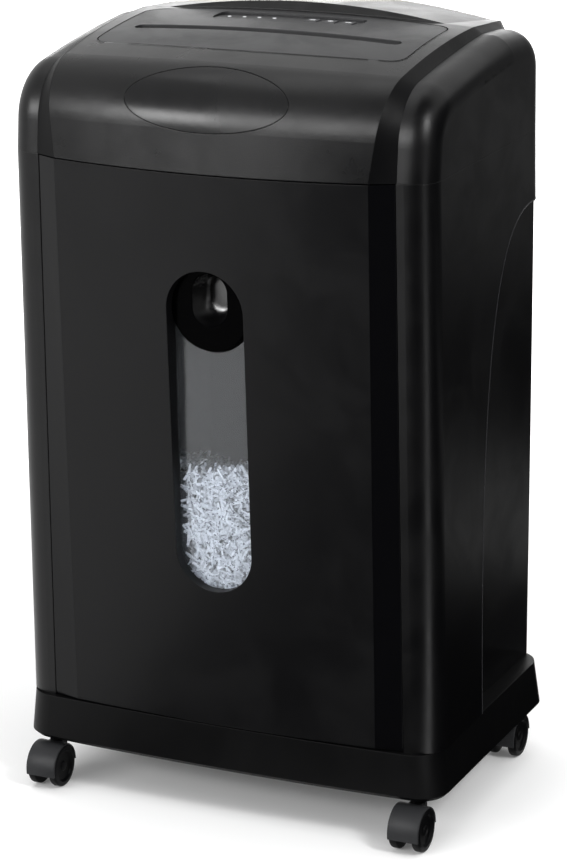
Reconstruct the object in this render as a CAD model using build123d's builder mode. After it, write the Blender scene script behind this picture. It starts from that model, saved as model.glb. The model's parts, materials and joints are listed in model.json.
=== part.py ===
from build123d import *
import os
from collections import namedtuple
from math import atan2, cos, pi, radians, sin, tan

os.makedirs("parts", exist_ok=True)

# Paper shredder, in millimetres. +Z is up, the front faces -Y, and the floor is z = 0.

# Levels
BASE_BOTTOM = 40.0
BASE_TOP = 79.0
HEAD_SEAM = 526.0
SEAM = 0.6

# Walls and general clearances
WALL = 3.0
RUNNING = 0.05
FREE = 0.3
OVERRUN = 20.0

# Plan of the cabinet, at the head seam and at the base
HEAD_REAR = 126.0
FACE_HALF = 131.0
STRIPE_HALF_TOP = 149.0
STRIPE_HALF_LOW = 153.0
BODY_HALF_TOP = 176.5
BODY_HALF_LOW = 180.5
FACE_EDGE_TOP = -114.0
FACE_EDGE_LOW = -111.0
BOW_TOP = 14.5
BOW_LOW = 5.0
STRIPE_FRONT_TOP = -105.5
STRIPE_FRONT_LOW = -107.0

# Recess in each side panel
RECESS_TOP = HEAD_SEAM - 56.0
RECESS_DEPTH_TOP = 5.5
RECESS_DEPTH_LOW = 15.0
RECESS_TURN = 100.0
RECESS_PULL = 10.0
RECESS_FRONT = -11.0
RECESS_SWELL = 300.0

# Base
BASE_HALF_TOP = 179.0
BASE_HALF_LOW = 183.5
BASE_FRONT = -110.0
BASE_BOW = 6.0
BASE_REAR_TOP = HEAD_REAR + 1.0
BASE_REAR_LOW = HEAD_REAR + 2.5
BASE_CORNER = 24.0
BASE_BEVEL = 3.5
BASE_WALL = 5.0
BOSS_RADIUS = 5.6
BOSS_SIDES = 8
STEM_SIDES = 6

# Head
HEAD_HALF = 150.0
HEAD_FLARE = 10.5
HEAD_FLARE_RISE = 77.0
CAP_ROUND = 21.0
CAP_BEVEL = 0.55
BROW_FRONT = 62.0
BROW_HALF = 139.0
BROW_CREST = HEAD_SEAM + 99.0
BROW_RADIUS = 672.0
BROW_FALL = 2.0
BROW_LENGTH = 61.0
BROW_ROUND = 5.0
VENT_COUNT = 9
VENT_PITCH = 12.0
VENT_WIDTH = 4.0
VENT_HEIGHT = 34.0
VENT_MIDDLE = HEAD_SEAM + 42.0

# Top panel, slot and console
PANEL_HALF = 130.0
PANEL_FRONT = -47.0
PANEL_FRONT_BOW = 12.0
PANEL_REAR = 50.0
PANEL_REAR_BOW = 8.0
PANEL_CORNER = 13.0
PANEL_THICK = 2.0
PANEL_LEDGE = 4.0
PANEL_GAP = 0.4
SLOT_HALF = 113.0
SLOT_Y = -9.0
SLOT_WIDTH = 10.0
CONSOLE_HALF = 63.0
CONSOLE_FRONT = 22.0
CONSOLE_REAR = 46.0
CONSOLE_CORNER = 6.0
CONSOLE_FRONT_Z = HEAD_SEAM + 87.4
CONSOLE_REAR_Z = HEAD_SEAM + 86.0
CONSOLE_FLANGE = 4.0
CONSOLE_DEPTH = 8.0
BUTTON_SIZE = 10.0
BUTTON_PITCH = 15.0
BUTTON_FIRST_X = 20.0
BUTTON_TRAVEL = 0.8
BUTTON_PROUD = 0.9
LIGHT_COUNT = 4
LIGHT_SIZE = 3.0
LIGHT_PITCH = 13.0
LIGHT_FIRST_X = -52.0
BOARD_Z = HEAD_SEAM + 72.0
BOARD_THICK = 1.6
BOARD_HALF = 66.0
POST_SIZE = 5.0
BADGE_HALF = 68.0
BADGE_LOW = HEAD_SEAM + 30.0
BADGE_HIGH = HEAD_SEAM + 74.0
BADGE_THICK = 1.6

# Cutter unit
CUTTER_SPACING = 33.0
CUTTER_Z = HEAD_SEAM + 36.0
DISC_COUNT = 21
DISC_PITCH = 10.4
DISC_THICK = 5.0
DISC_TIP = 19.0
DISC_HEEL = 17.2
DISC_TEETH = 3
DISC_STAGGER = 17.0
CORE_RADIUS = 13.0
JOURNAL_RADIUS = 6.0
BUSH_RADIUS = 10.0
PLATE_INNER = 113.5
PLATE_THICK = 2.5
PLATE_TOP = HEAD_SEAM + 69.0
PLATE_FRONT = -58.0
PLATE_SLOPE = 12.0
PLATE_FRONT_SLOPE = 32.0
LEFT_PLATE_REAR = 42.0
RIGHT_PLATE_REAR = 108.0
ROD_RADIUS = 3.5
COMB_REACH = 14.2
COMB_BAR = 5.0
COMB_HEIGHT = 26.0
FINGER_THICK = 4.0
TRAY_THICK = 3.0
TRAY_HALF = 168.0
TRAY_FRONT = -98.0
TRAY_REAR = 116.0
TRAY_CORNER = 24.0
SHELF = 10.0

# Gear train
SYNC_TEETH = 16
GEAR_TEETH = 36
PINION_TEETH = 12
DRIVE_MODULE = 1.5
MOTOR_MODULE = 1.25
GEAR_WIDTH = 8.0
GEAR_GAP = 1.5
BACKLASH = 0.12
IDLER_ANGLE = 5.0
IDLER_PIN_RADIUS = 4.0
MOTOR_RADIUS = 31.0
MOTOR_LENGTH = 88.0
MOTOR_SHAFT_RADIUS = 4.0
MOTOR_STEP = 2.5
GEARHEAD_LENGTH = 24.0
MOTOR_TAIL = 12.0
FAN_HUB = 8.0
FAN_RADIUS = 26.0
FAN_BLADES = 7

# Bin
BIN_DEPTH = 14.0
BIN_FLOOR = 2.0
TUB_HALF_TOP = 141.0
TUB_HALF_LOW = 137.0
TUB_FRONT = -106.5
TUB_REAR = HEAD_REAR - 14.0
TUB_TOP = HEAD_SEAM - 18.0
TUB_WALL = 2.2
TUB_CORNER = 24.0
RUNNER_HEIGHT = 3.0
RUNNER_WIDTH = 12.0
RUNNER_X = 110.0
WINDOW_HALF = 32.4
WINDOW_LOW = 193.0
WINDOW_HIGH = 451.0
WINDOW_RIM = 4.6
WINDOW_CLEAR = 100.0
PANE_FRONT = -110.5
PANE_THICK = 2.5
PANE_SEAT = 2.0
CUP_DEPTH = 24.0
CUP_FACE = 5.0
POCKET_HALF = 15.0
POCKET_BOTTOM = 405.0
PAPER_TOP = 298.0
HEAP_SHOULDER = 10.0
HEAP_SLOPE = 20.0
HEAP_CRUST = 6.0

# Casters
WHEEL_RADIUS = 17.0
WHEEL_WIDTH = 6.6
WHEEL_INNER = 6.4
AXLE_RADIUS = 2.5
HOOD_RADIUS = 18.9
HOOD_THICK = 1.5
HOOD_WEB = 6.0
HOOD_SOCKET = 3.0
HOOD_FOOT = 8.0
HOOD_CHAMFER = 6.0
CASTER_TRAIL = 11.0
CASTER_X = 160.0
CASTER_FRONT = -97.0
CASTER_REAR = HEAD_REAR - 20.0
STEM_RADIUS = 4.0
STEM_LOW = 21.0
STEM_HIGH = 68.0

HOOD_TOP = 34.4
HOOD_START = 0.0
HOOD_SWEEP = 192.0

# Rear fittings and switches
INTERLOCK_X = 125.0
INTERLOCK_Y = -60.0
INTERLOCK_HEIGHT = 12.0
GLAND_RIM = 2.2
FRAME_RIM = 1.5
ROCKER_PIN = 1.5
ROCKER_DEPTH = 8.0
GLAND_X = -90.0
GLAND_Z = HEAD_SEAM - 30.0
GLAND_BORE = 4.0
GLAND_RADIUS = 7.0
GLAND_FLANGE = 10.0
GLAND_LENGTH = 14.0
ROCKER_X = -50.0
ROCKER_HALF_WIDTH = 6.0
ROCKER_HALF_HEIGHT = 10.0
ROCKER_TILT = 9.0

HeadEdge = namedtuple("HeadEdge", "front knee crest foot rear rear_round")

# Each outline: seam y, then (y, height over the seam) of the knee, the crest and the foot of the brow,
# then the rear top and its rounding
CENTRE_EDGE = HeadEdge(
    FACE_EDGE_TOP - BOW_TOP, (-124.5, 32.0), (-84.0, 76.0), (BROW_FRONT, 91.6), 87.5, 9.0
)
SIDE_EDGE = HeadEdge(FACE_EDGE_TOP, (-110.5, 30.0), (-72.0, 72.2), (BROW_FRONT, 87.0), 83.0, 9.0)
CAP_EDGE = HeadEdge(STRIPE_FRONT_TOP, (-102.5, 26.0), (-63.0, 67.5), (BROW_FRONT, 82.0), 80.0, 30.0)


def save(part, name):
    part.label = name
    export_step(part, f"parts/{name}.step")


def between(low, high, z):
    """Size at height z of what changes evenly from the base to the head seam."""
    return low + (high - low) * (z - BASE_TOP) / (HEAD_SEAM - BASE_TOP)


def head_section(plane, edge, inset=0.0, bottom=HEAD_SEAM, rise=1.0):
    """Closed upright outline of the head on a plane; rise stretches z on a leaning plane."""

    def at(point):
        return (point[0], point[1] * rise)

    low = bottom - HEAD_SEAM
    lean = (edge.knee[0] - edge.front) / edge.knee[1]
    start = at((edge.front + lean * low, low))
    rear_top = (HEAD_REAR - edge.rear_round, edge.rear)
    rear_turn = (HEAD_REAR, edge.rear - edge.rear_round)
    with BuildSketch(plane) as section:
        with BuildLine():
            front = Line(start, at(edge.knee))
            shoulder = TangentArc(at(edge.knee), at(edge.crest), tangent=front % 1)
            TangentArc(at(edge.crest), at(edge.foot), tangent=shoulder % 1)
            Line(at(edge.foot), at(rear_top))
            RadiusArc(at(rear_top), at(rear_turn), edge.rear_round * 1.01)
            Line(at(rear_turn), at((HEAD_REAR, low)))
            Line(at((HEAD_REAR, low)), start)
        make_face()
        if inset:
            offset(amount=-inset, kind=Kind.INTERSECTION)
    return section.sketch


def upright(x):
    return Plane(origin=(x, 0, HEAD_SEAM), x_dir=(0, 1, 0), z_dir=(1, 0, 0))


FLARE_ANGLE = atan2(HEAD_FLARE, HEAD_FLARE_RISE)


def flared(side):
    """Leaning plane that carries the inner edge of a stripe."""
    return Plane(
        origin=(side * FACE_HALF, 0, HEAD_SEAM),
        x_dir=(0, 1, 0),
        z_dir=(cos(FLARE_ANGLE), 0, -side * sin(FLARE_ANGLE)),
    )


def head_body(inset=0.0, bottom=HEAD_SEAM):
    """Bowed centre of the head with its stripes, as a solid moved in by inset."""
    rise = 1 / cos(FLARE_ANGLE)
    left = head_section(flared(-1), SIDE_EDGE, inset, bottom, rise)
    middle = head_section(upright(0), CENTRE_EDGE, inset, bottom)
    right = head_section(flared(1), SIDE_EDGE, inset, bottom, rise)
    left_end = head_section(upright(-HEAD_HALF), CAP_EDGE, inset, bottom)
    right_end = head_section(upright(HEAD_HALF), CAP_EDGE, inset, bottom)
    with BuildPart() as body:
        loft([left, middle, right])
        loft([left_end, left], ruled=True)
        loft([right, right_end], ruled=True)
    return body.part


def brow_body(inset=0.0):
    """Raised rear deck whose front shows as a dark crescent behind the top panel."""
    fall = radians(BROW_FALL)
    plane = Plane(
        origin=(0, BROW_FRONT + inset, BROW_CREST),
        x_dir=(-1, 0, 0),
        z_dir=(0, cos(fall), -sin(fall)),
    )
    half = BROW_HALF - inset
    sag = BROW_RADIUS - (BROW_RADIUS**2 - half**2) ** 0.5
    depth = 2 * OVERRUN
    with BuildPart() as brow:
        with BuildSketch(plane):
            with BuildLine():
                RadiusArc((-half, -sag - inset), (half, -sag - inset), BROW_RADIUS)
                Line((half, -sag - inset), (half, -depth))
                Line((half, -depth), (-half, -depth))
                Line((-half, -depth), (-half, -sag - inset))
            make_face()
        extrude(amount=BROW_LENGTH - inset)
        if not inset:
            fillet(brow.edges().group_by(Axis.Y)[-1].sort_by(Axis.Z)[-1], BROW_ROUND)
    return brow.part


def panel_prism(grow=0.0):
    """Upright block with the plan outline of the top panel."""
    half = PANEL_HALF + grow
    front = PANEL_FRONT - grow
    rear = PANEL_REAR + grow
    with BuildPart() as prism:
        with BuildSketch(Plane.XY.offset(HEAD_SEAM + 40)):
            with BuildLine():
                ThreePointArc((-half, front), (0, front - PANEL_FRONT_BOW), (half, front))
                Line((half, front), (half, rear))
                ThreePointArc((half, rear), (0, rear + PANEL_REAR_BOW), (-half, rear))
                Line((-half, rear), (-half, front))
            outline = make_face()
            fillet(outline.vertices(), PANEL_CORNER + grow)
        extrude(amount=80)
    return prism.part


def slot_prism(half, width, low, high):
    with BuildPart() as prism:
        with BuildSketch(Plane.XY.offset(low)):
            with Locations((0, SLOT_Y)):
                SlotOverall(2 * half, width)
        extrude(amount=high - low)
    return prism.part


def console_prism(grow=0.0):
    middle = (CONSOLE_FRONT + CONSOLE_REAR) / 2
    with BuildPart() as prism:
        with BuildSketch(Plane.XY.offset(HEAD_SEAM + 40)):
            with Locations((0, middle)):
                RectangleRounded(
                    2 * (CONSOLE_HALF + grow), CONSOLE_REAR - CONSOLE_FRONT + 2 * grow, CONSOLE_CORNER + grow
                )
        extrude(amount=80)
    return prism.part


def oval_prism(grow=0.0):
    """Block with the oval outline of the badge, running through the head's front."""
    middle = (BADGE_LOW + BADGE_HIGH) / 2
    with BuildPart() as prism:
        with BuildSketch(Plane.XZ.offset(-BROW_FRONT)):
            with Locations((0, middle)):
                Ellipse(BADGE_HALF + grow, (BADGE_HIGH - BADGE_LOW) / 2 + grow)
        extrude(amount=BROW_FRONT + 140)
    return prism.part


head_outer = head_body()
head_inner = head_body(WALL, HEAD_SEAM - OVERRUN)
head_under_panel = head_body(PANEL_THICK, HEAD_SEAM - OVERRUN)
head_under_console = head_body(CONSOLE_DEPTH, HEAD_SEAM - OVERRUN)
head_under_badge = head_body(BADGE_THICK, HEAD_SEAM - OVERRUN)

# Head cover: one bowed moulding with openings for the panel and the badge, and vents at the back
with BuildPart() as head_cover:
    add(head_outer)
    add(brow_body())
    add(head_inner, mode=Mode.SUBTRACT)
    add(brow_body(WALL), mode=Mode.SUBTRACT)
    add(panel_prism(-PANEL_LEDGE), mode=Mode.SUBTRACT)
    with BuildSketch(Plane.XZ.offset(-HEAD_REAR - 1)):
        with Locations((0, VENT_MIDDLE)):
            with GridLocations(VENT_PITCH, 0, VENT_COUNT, 1):
                Rectangle(VENT_WIDTH, VENT_HEIGHT)
    extrude(amount=WALL + 3, mode=Mode.SUBTRACT)

with BuildPart() as panel_pocket:
    add(panel_prism())
    add(head_under_panel, mode=Mode.SUBTRACT)

with BuildPart() as badge_pocket:
    add(oval_prism())
    add(head_under_badge, mode=Mode.SUBTRACT)

with BuildPart() as head_cover_finished:
    add(head_cover.part)
    add(panel_pocket.part, mode=Mode.SUBTRACT)
    add(badge_pocket.part, mode=Mode.SUBTRACT)
save(head_cover_finished.part, "head_cover")

# Top panel: a thin plate in the cover's rebate, with the paper slot and the console opening
with BuildPart() as top_panel:
    add(panel_prism(-PANEL_GAP))
    add(head_outer, mode=Mode.INTERSECT)
    add(head_under_panel, mode=Mode.SUBTRACT)
    add(slot_prism(SLOT_HALF, SLOT_WIDTH, HEAD_SEAM + 40, BROW_CREST), mode=Mode.SUBTRACT)
    add(console_prism(), mode=Mode.SUBTRACT)
save(top_panel.part, "top_panel")

# Badge plate: the bare oval on the front of the head
with BuildPart() as badge_plate:
    add(oval_prism(-PANEL_GAP))
    add(head_outer, mode=Mode.INTERSECT)
    add(head_under_badge, mode=Mode.SUBTRACT)
    add(badge_plate.solids().sort_by(Axis.Y)[0], mode=Mode.REPLACE)
save(badge_plate.part, "badge_plate")


def cap_body(inset=0.0, bottom=HEAD_SEAM):
    """Rounded right end of the head."""
    outline = head_section(upright(HEAD_HALF), CAP_EDGE, inset, bottom)
    with BuildPart() as cap:
        add(outline)
        extrude(amount=BODY_HALF_TOP - inset - HEAD_HALF, dir=(1, 0, 0))
        rim = cap.faces().sort_by(Axis.X)[-1].edges().sort_by(Axis.Z)
        if inset:
            chamfer(rim[1:], CAP_ROUND * CAP_BEVEL)
        else:
            fillet(rim[1:], CAP_ROUND)
    return cap.part


# Head caps: the rounded ends
with BuildPart() as right_head_cap:
    add(cap_body())
    add(cap_body(WALL, HEAD_SEAM - OVERRUN), mode=Mode.SUBTRACT)
save(right_head_cap.part, "right_head_cap")

with BuildPart() as left_head_cap:
    mirror(right_head_cap.part, about=Plane.YZ)
save(left_head_cap.part, "left_head_cap")


def side_outline(z, inset, inner_edge):
    """Plan of the right side panel at height z, from its front seam round to the back."""
    half = between(BODY_HALF_LOW, BODY_HALF_TOP, z) - inset
    front = between(STRIPE_FRONT_LOW, STRIPE_FRONT_TOP, z) + inset
    rear = HEAD_REAR - inset
    turn = max(CAP_ROUND - inset, 1.0)
    with BuildSketch(Plane.XY.offset(z)) as outline:
        with BuildLine():
            Line((inner_edge, front), (half - turn, front))
            TangentArc((half - turn, front), (half, front + turn), tangent=(1, 0))
            Line((half, front + turn), (half, rear - turn))
            TangentArc((half, rear - turn), (half - turn, rear), tangent=(0, 1))
            Line((half - turn, rear), (inner_edge, rear))
            Line((inner_edge, rear), (inner_edge, front))
        make_face()
    return outline.sketch


def stripe_half(z):
    return between(STRIPE_HALF_LOW, STRIPE_HALF_TOP, z)


def side_block(inset, low, high, opened):
    """Solid of the right side panel between two heights; opened runs it on towards the middle."""
    edges = [stripe_half(z) + SEAM / 2 - (30 if opened else 0) for z in (low, high)]
    with BuildPart() as block:
        loft([side_outline(low, inset, edges[0]), side_outline(high, inset, edges[1])], ruled=True)
    return block.part


def recess_block(grow=0.0):
    """Tool for the swept recess at the rear of the right side panel."""
    x_top = between(BODY_HALF_LOW, BODY_HALF_TOP, RECESS_TOP) - RECESS_DEPTH_TOP
    x_low = BODY_HALF_LOW - RECESS_DEPTH_LOW
    lean = atan2(x_top - x_low, RECESS_TOP - BASE_TOP)
    plane = Plane(
        origin=(x_low - grow, 0, BASE_TOP), x_dir=(0, 1, 0), z_dir=(cos(lean), 0, -sin(lean))
    )
    top = RECESS_TOP - BASE_TOP + grow
    front = RECESS_FRONT - grow
    far = HEAD_REAR + OVERRUN
    below = -20
    with BuildPart() as block:
        with BuildSketch(plane):
            with BuildLine():
                Line((far, top), (RECESS_TURN, top))
                swell = (front, RECESS_SWELL - BASE_TOP)
                Bezier((RECESS_TURN, top), (RECESS_PULL - grow, top), swell, (front, below))
                Line((front, below), (far, below))
                Line((far, below), (far, top))
            make_face()
        extrude(amount=60)
    return block.part


# Side panels: moulded channels with a shelf for the head and a swept recess
with BuildPart() as side_void:
    add(side_block(WALL, BASE_TOP - 1, HEAD_SEAM - WALL, True))
    add(recess_block(WALL), mode=Mode.SUBTRACT)

with BuildPart() as right_side_panel:
    add(side_block(0.0, BASE_TOP, HEAD_SEAM, False))
    add(recess_block(), mode=Mode.SUBTRACT)
    add(side_void.part, mode=Mode.SUBTRACT)
    add(side_block(WALL + SHELF, HEAD_SEAM - WALL - 1, HEAD_SEAM + 1, True), mode=Mode.SUBTRACT)
save(right_side_panel.part, "right_side_panel")

with BuildPart() as left_side_panel:
    mirror(right_side_panel.part, about=Plane.YZ)
save(left_side_panel.part, "left_side_panel")

# Back panel: flat plate between the side panels, with holes for the gland and the power switch
FRAME_HALF_WIDTH = ROCKER_HALF_WIDTH + 2.0
FRAME_HALF_HEIGHT = ROCKER_HALF_HEIGHT + 2.0
with BuildPart() as back_panel:
    with BuildSketch(Plane.XZ.offset(-HEAD_REAR)):
        with BuildLine():
            low = stripe_half(BASE_TOP) + SEAM / 2
            high = stripe_half(HEAD_SEAM) + SEAM / 2
            Polyline((-low, BASE_TOP), (low, BASE_TOP), (high, HEAD_SEAM), (-high, HEAD_SEAM), close=True)
        make_face()
        with Locations((GLAND_X, GLAND_Z)):
            Circle(GLAND_RADIUS + RUNNING, mode=Mode.SUBTRACT)
        with Locations((ROCKER_X, GLAND_Z)):
            Rectangle(
                2 * (FRAME_HALF_WIDTH + RUNNING), 2 * (FRAME_HALF_HEIGHT + RUNNING), mode=Mode.SUBTRACT
            )
    extrude(amount=WALL)
save(back_panel.part, "back_panel")


def base_outline(z, half, rear, inset=0.0):
    half = half - inset
    rear = rear - inset
    front = BASE_FRONT + inset
    with BuildSketch(Plane.XY.offset(z)) as outline:
        with BuildLine():
            ThreePointArc((-half, front), (0, front - BASE_BOW), (half, front))
            Line((half, front), (half, rear))
            Line((half, rear), (-half, rear))
            Line((-half, rear), (-half, front))
        face = make_face()
        fillet(face.vertices(), BASE_CORNER - inset)
    return outline.sketch


CASTERS = {
    "front_left": (-CASTER_X, CASTER_FRONT),
    "front_right": (CASTER_X, CASTER_FRONT),
    "rear_left": (-CASTER_X, CASTER_REAR),
    "rear_right": (CASTER_X, CASTER_REAR),
}

# Base: flared tray with a bevelled foot and a deck, and a boss over each caster
BOSS_BOTTOM = HOOD_TOP + FREE
with BuildPart() as base_frame:
    loft(
        [
            base_outline(BASE_BOTTOM, BASE_HALF_LOW, BASE_REAR_LOW, BASE_BEVEL),
            base_outline(BASE_BOTTOM + BASE_BEVEL, BASE_HALF_LOW, BASE_REAR_LOW),
            base_outline(BASE_TOP, BASE_HALF_TOP, BASE_REAR_TOP),
        ],
        ruled=True,
    )
    loft(
        [
            base_outline(BASE_BOTTOM, BASE_HALF_LOW, BASE_REAR_LOW, BASE_WALL),
            base_outline(BASE_TOP - WALL, BASE_HALF_TOP, BASE_REAR_TOP, BASE_WALL),
        ],
        ruled=True,
        mode=Mode.SUBTRACT,
    )
    with BuildSketch(Plane.XY.offset(BOSS_BOTTOM)):
        with Locations(*CASTERS.values()):
            RegularPolygon(BOSS_RADIUS, BOSS_SIDES)
    extrude(amount=BASE_TOP - WALL / 2 - BOSS_BOTTOM)
    with BuildSketch(Plane.XY.offset(BOSS_BOTTOM)):
        with Locations(*CASTERS.values()):
            RegularPolygon(STEM_RADIUS + RUNNING, STEM_SIDES)
    extrude(amount=STEM_HIGH - BOSS_BOTTOM, mode=Mode.SUBTRACT)
save(base_frame.part, "base_frame")

# Bin runners: two low rails on the deck, behind the bin front
RUNNER_FRONT = STRIPE_FRONT_LOW + BIN_DEPTH + 3.0
RUNNER_REAR = TUB_REAR - 5.0
with BuildPart() as bin_runners:
    with BuildSketch(Plane.XY.offset(BASE_TOP)):
        with Locations((0, (RUNNER_FRONT + RUNNER_REAR) / 2)):
            with GridLocations(2 * RUNNER_X, 0, 2, 1):
                Rectangle(RUNNER_WIDTH, RUNNER_REAR - RUNNER_FRONT)
    extrude(amount=RUNNER_HEIGHT)
save(bin_runners.part, "bin_runners")


def window_prism(grow, front, rear):
    """Upright oblong block that runs from front to rear."""
    with BuildPart() as prism:
        with BuildSketch(Plane.XZ.offset(-rear)):
            with Locations((0, (WINDOW_LOW + WINDOW_HIGH) / 2)):
                SlotOverall(WINDOW_HIGH - WINDOW_LOW + 2 * grow, 2 * (WINDOW_HALF + grow), rotation=90)
        extrude(amount=rear - front)
    return prism.part


def bin_outline(z, inset, depth):
    """Plan of the bin front at height z."""
    outer = stripe_half(z) - SEAM / 2 - inset
    face = FACE_HALF - inset * 0.4
    edge = between(FACE_EDGE_LOW, FACE_EDGE_TOP, z) + inset
    bow = between(BOW_LOW, BOW_TOP, z)
    stripe = between(STRIPE_FRONT_LOW, STRIPE_FRONT_TOP, z) + inset
    rear = stripe + depth
    with BuildSketch(Plane.XY.offset(z)) as outline:
        with BuildLine():
            ThreePointArc((-face, edge), (0, edge - bow), (face, edge))
            right = [(face, edge), (outer, stripe), (outer, rear)]
            left = [(-x, y) for x, y in reversed(right)]
            Polyline(*right, *left)
        make_face()
    return outline.sketch


BIN_GAP = 1.0
BIN_LOW = BASE_TOP + BIN_GAP
BIN_HIGH = HEAD_SEAM - BIN_GAP
WINDOW_SEAT = PANE_SEAT + RUNNING

# Bin front: bowed panel with stripes and a sunk window rim
with BuildPart() as bin_front_solid:
    loft([bin_outline(BIN_LOW, 0.0, BIN_DEPTH), bin_outline(BIN_HIGH, 0.0, BIN_DEPTH)], ruled=True)

with BuildPart() as window_rim:
    add(window_prism(WINDOW_RIM, FACE_EDGE_TOP - BOW_TOP - 5, TUB_FRONT))
    add(bin_front_solid.part, mode=Mode.INTERSECT)

with BuildPart() as bin_front:
    add(bin_front_solid.part)
    hollow_low = bin_outline(BIN_LOW + BIN_FLOOR, WALL, 2 * OVERRUN)
    hollow_high = bin_outline(BIN_HIGH - WALL, WALL, 2 * OVERRUN)
    loft([hollow_low, hollow_high], ruled=True, mode=Mode.SUBTRACT)
    add(window_rim.part)
    add(window_prism(0.0, FACE_EDGE_TOP - BOW_TOP - 5, TUB_FRONT + 1), mode=Mode.SUBTRACT)
    add(window_prism(WINDOW_SEAT, PANE_FRONT, TUB_FRONT + 1), mode=Mode.SUBTRACT)
save(bin_front.part, "bin_front")

# Window pane and the handle cup that closes its upper end
CUP_Z = WINDOW_HIGH - WINDOW_HALF
CUP_FLANGE = WINDOW_HALF + PANE_SEAT
with BuildPart() as bin_window:
    add(window_prism(PANE_SEAT, PANE_FRONT, PANE_FRONT + PANE_THICK))
    with BuildSketch(Plane.XZ.offset(-PANE_FRONT - PANE_THICK - 1)):
        with Locations((0, CUP_Z)):
            Circle(CUP_FLANGE + RUNNING)
        with Locations((0, CUP_Z + WINDOW_CLEAR / 2)):
            Rectangle(WINDOW_CLEAR, WINDOW_CLEAR)
    extrude(amount=PANE_THICK + 2, mode=Mode.SUBTRACT)
save(bin_window.part, "bin_window")

CUP_FRONT = PANE_FRONT - CUP_FACE
CUP_BACK = PANE_FRONT + CUP_DEPTH
CUP_BODY = WINDOW_HALF - 2.0
POCKET_TOP = WINDOW_HIGH - 4.0
with BuildPart() as bin_handle_cup:
    with BuildSketch(Plane.XZ.offset(-PANE_FRONT - PANE_THICK)):
        with Locations((0, CUP_Z)):
            Circle(CUP_FLANGE)
    extrude(amount=PANE_THICK)
    with BuildSketch(Plane.XZ.offset(-PANE_FRONT)):
        with Locations((0, CUP_Z)):
            Circle(WINDOW_HALF - RUNNING)
    extrude(amount=CUP_FACE)
    with BuildSketch(Plane.XZ.offset(-CUP_BACK)):
        with Locations((0, CUP_Z)):
            Circle(CUP_BODY)
    extrude(amount=CUP_DEPTH - PANE_THICK)
    with BuildSketch(Plane.XZ.offset(-CUP_BACK + TUB_WALL)):
        with Locations((0, (POCKET_BOTTOM + POCKET_TOP) / 2)):
            SlotOverall(POCKET_TOP - POCKET_BOTTOM, 2 * POCKET_HALF, rotation=90)
    extrude(amount=CUP_DEPTH + CUP_FACE, mode=Mode.SUBTRACT)
save(bin_handle_cup.part, "bin_handle_cup")


def tub_outline(z, inset):
    half = TUB_HALF_LOW + (TUB_HALF_TOP - TUB_HALF_LOW) * (z - BASE_TOP) / (TUB_TOP - BASE_TOP) - inset
    with BuildSketch(Plane.XY.offset(z)) as outline:
        with Locations((0, (TUB_FRONT + TUB_REAR) / 2)):
            RectangleRounded(2 * half, TUB_REAR - TUB_FRONT - 2 * inset, TUB_CORNER - inset)
    return outline.sketch


# Bin tub: tapered basket with a window cut-out in its front wall
TUB_LOW = BASE_TOP + RUNNER_HEIGHT + FREE
with BuildPart() as bin_tub:
    loft([tub_outline(TUB_LOW, 0.0), tub_outline(TUB_TOP, 0.0)], ruled=True)
    loft(
        [tub_outline(TUB_LOW + TUB_WALL, TUB_WALL), tub_outline(TUB_TOP + 1, TUB_WALL)],
        ruled=True,
        mode=Mode.SUBTRACT,
    )
    add(window_prism(WINDOW_SEAT, TUB_FRONT - 1, TUB_FRONT + TUB_WALL + 1), mode=Mode.SUBTRACT)
save(bin_tub.part, "bin_tub")

# Shredded paper: the heap seen through the window, hollow so that it weighs about what loose shreds weigh
HEAP_INSET = TUB_WALL + FREE
HOLLOW_INSET = HEAP_INSET + HEAP_CRUST


def heap_body(inset, top):
    """A heap that follows the tub's walls, with sloped shoulders up to one flat top."""
    with BuildPart() as heap:
        loft(
            [
                tub_outline(TUB_LOW + HEAP_INSET, inset),
                tub_outline(top - HEAP_SHOULDER, inset),
                tub_outline(top, HEAP_INSET + HEAP_SLOPE),
            ],
            ruled=True,
        )
    return heap.part


heap_outside = heap_body(HEAP_INSET, PAPER_TOP)
heap_hollow = heap_body(HOLLOW_INSET, PAPER_TOP - HEAP_CRUST)
with BuildPart() as shredded_paper:
    add(heap_outside)
    add(heap_hollow, mode=Mode.SUBTRACT)
save(shredded_paper.part, "shredded_paper")

# Head tray: plate on the shelves of the side panels, open where the shreds fall
EXIT_HALF = PLATE_INNER - 4.0
EXIT_FRONT = SLOT_Y - CUTTER_SPACING / 2 - COMB_REACH
EXIT_REAR = SLOT_Y + CUTTER_SPACING / 2 + COMB_REACH
TRAY_TOP = HEAD_SEAM + TRAY_THICK
with BuildPart() as head_tray:
    with BuildSketch(Plane.XY.offset(HEAD_SEAM)):
        with Locations((0, (TRAY_FRONT + TRAY_REAR) / 2)):
            RectangleRounded(2 * TRAY_HALF, TRAY_REAR - TRAY_FRONT, TRAY_CORNER)
        with Locations((0, (EXIT_FRONT + EXIT_REAR) / 2)):
            Rectangle(2 * EXIT_HALF, EXIT_REAR - EXIT_FRONT, mode=Mode.SUBTRACT)
    extrude(amount=TRAY_THICK)
save(head_tray.part, "head_tray")

# Paper chute: guide under the slot that leads the sheet to the cutters
CHUTE_LOW = CUTTER_Z + DISC_TIP + 3.0
CHUTE_WALL = 2.0
with BuildPart() as paper_chute:
    with BuildSketch(Plane.XY.offset(CHUTE_LOW)):
        with Locations((0, SLOT_Y)):
            Rectangle(2 * (PLATE_INNER - FREE), SLOT_WIDTH + 2 * CHUTE_WALL)
            Rectangle(2 * (PLATE_INNER - FREE - CHUTE_WALL), SLOT_WIDTH, mode=Mode.SUBTRACT)
    extrude(amount=BROW_CREST - CHUTE_LOW)
    add(head_under_panel, mode=Mode.INTERSECT)
save(paper_chute.part, "paper_chute")


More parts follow.
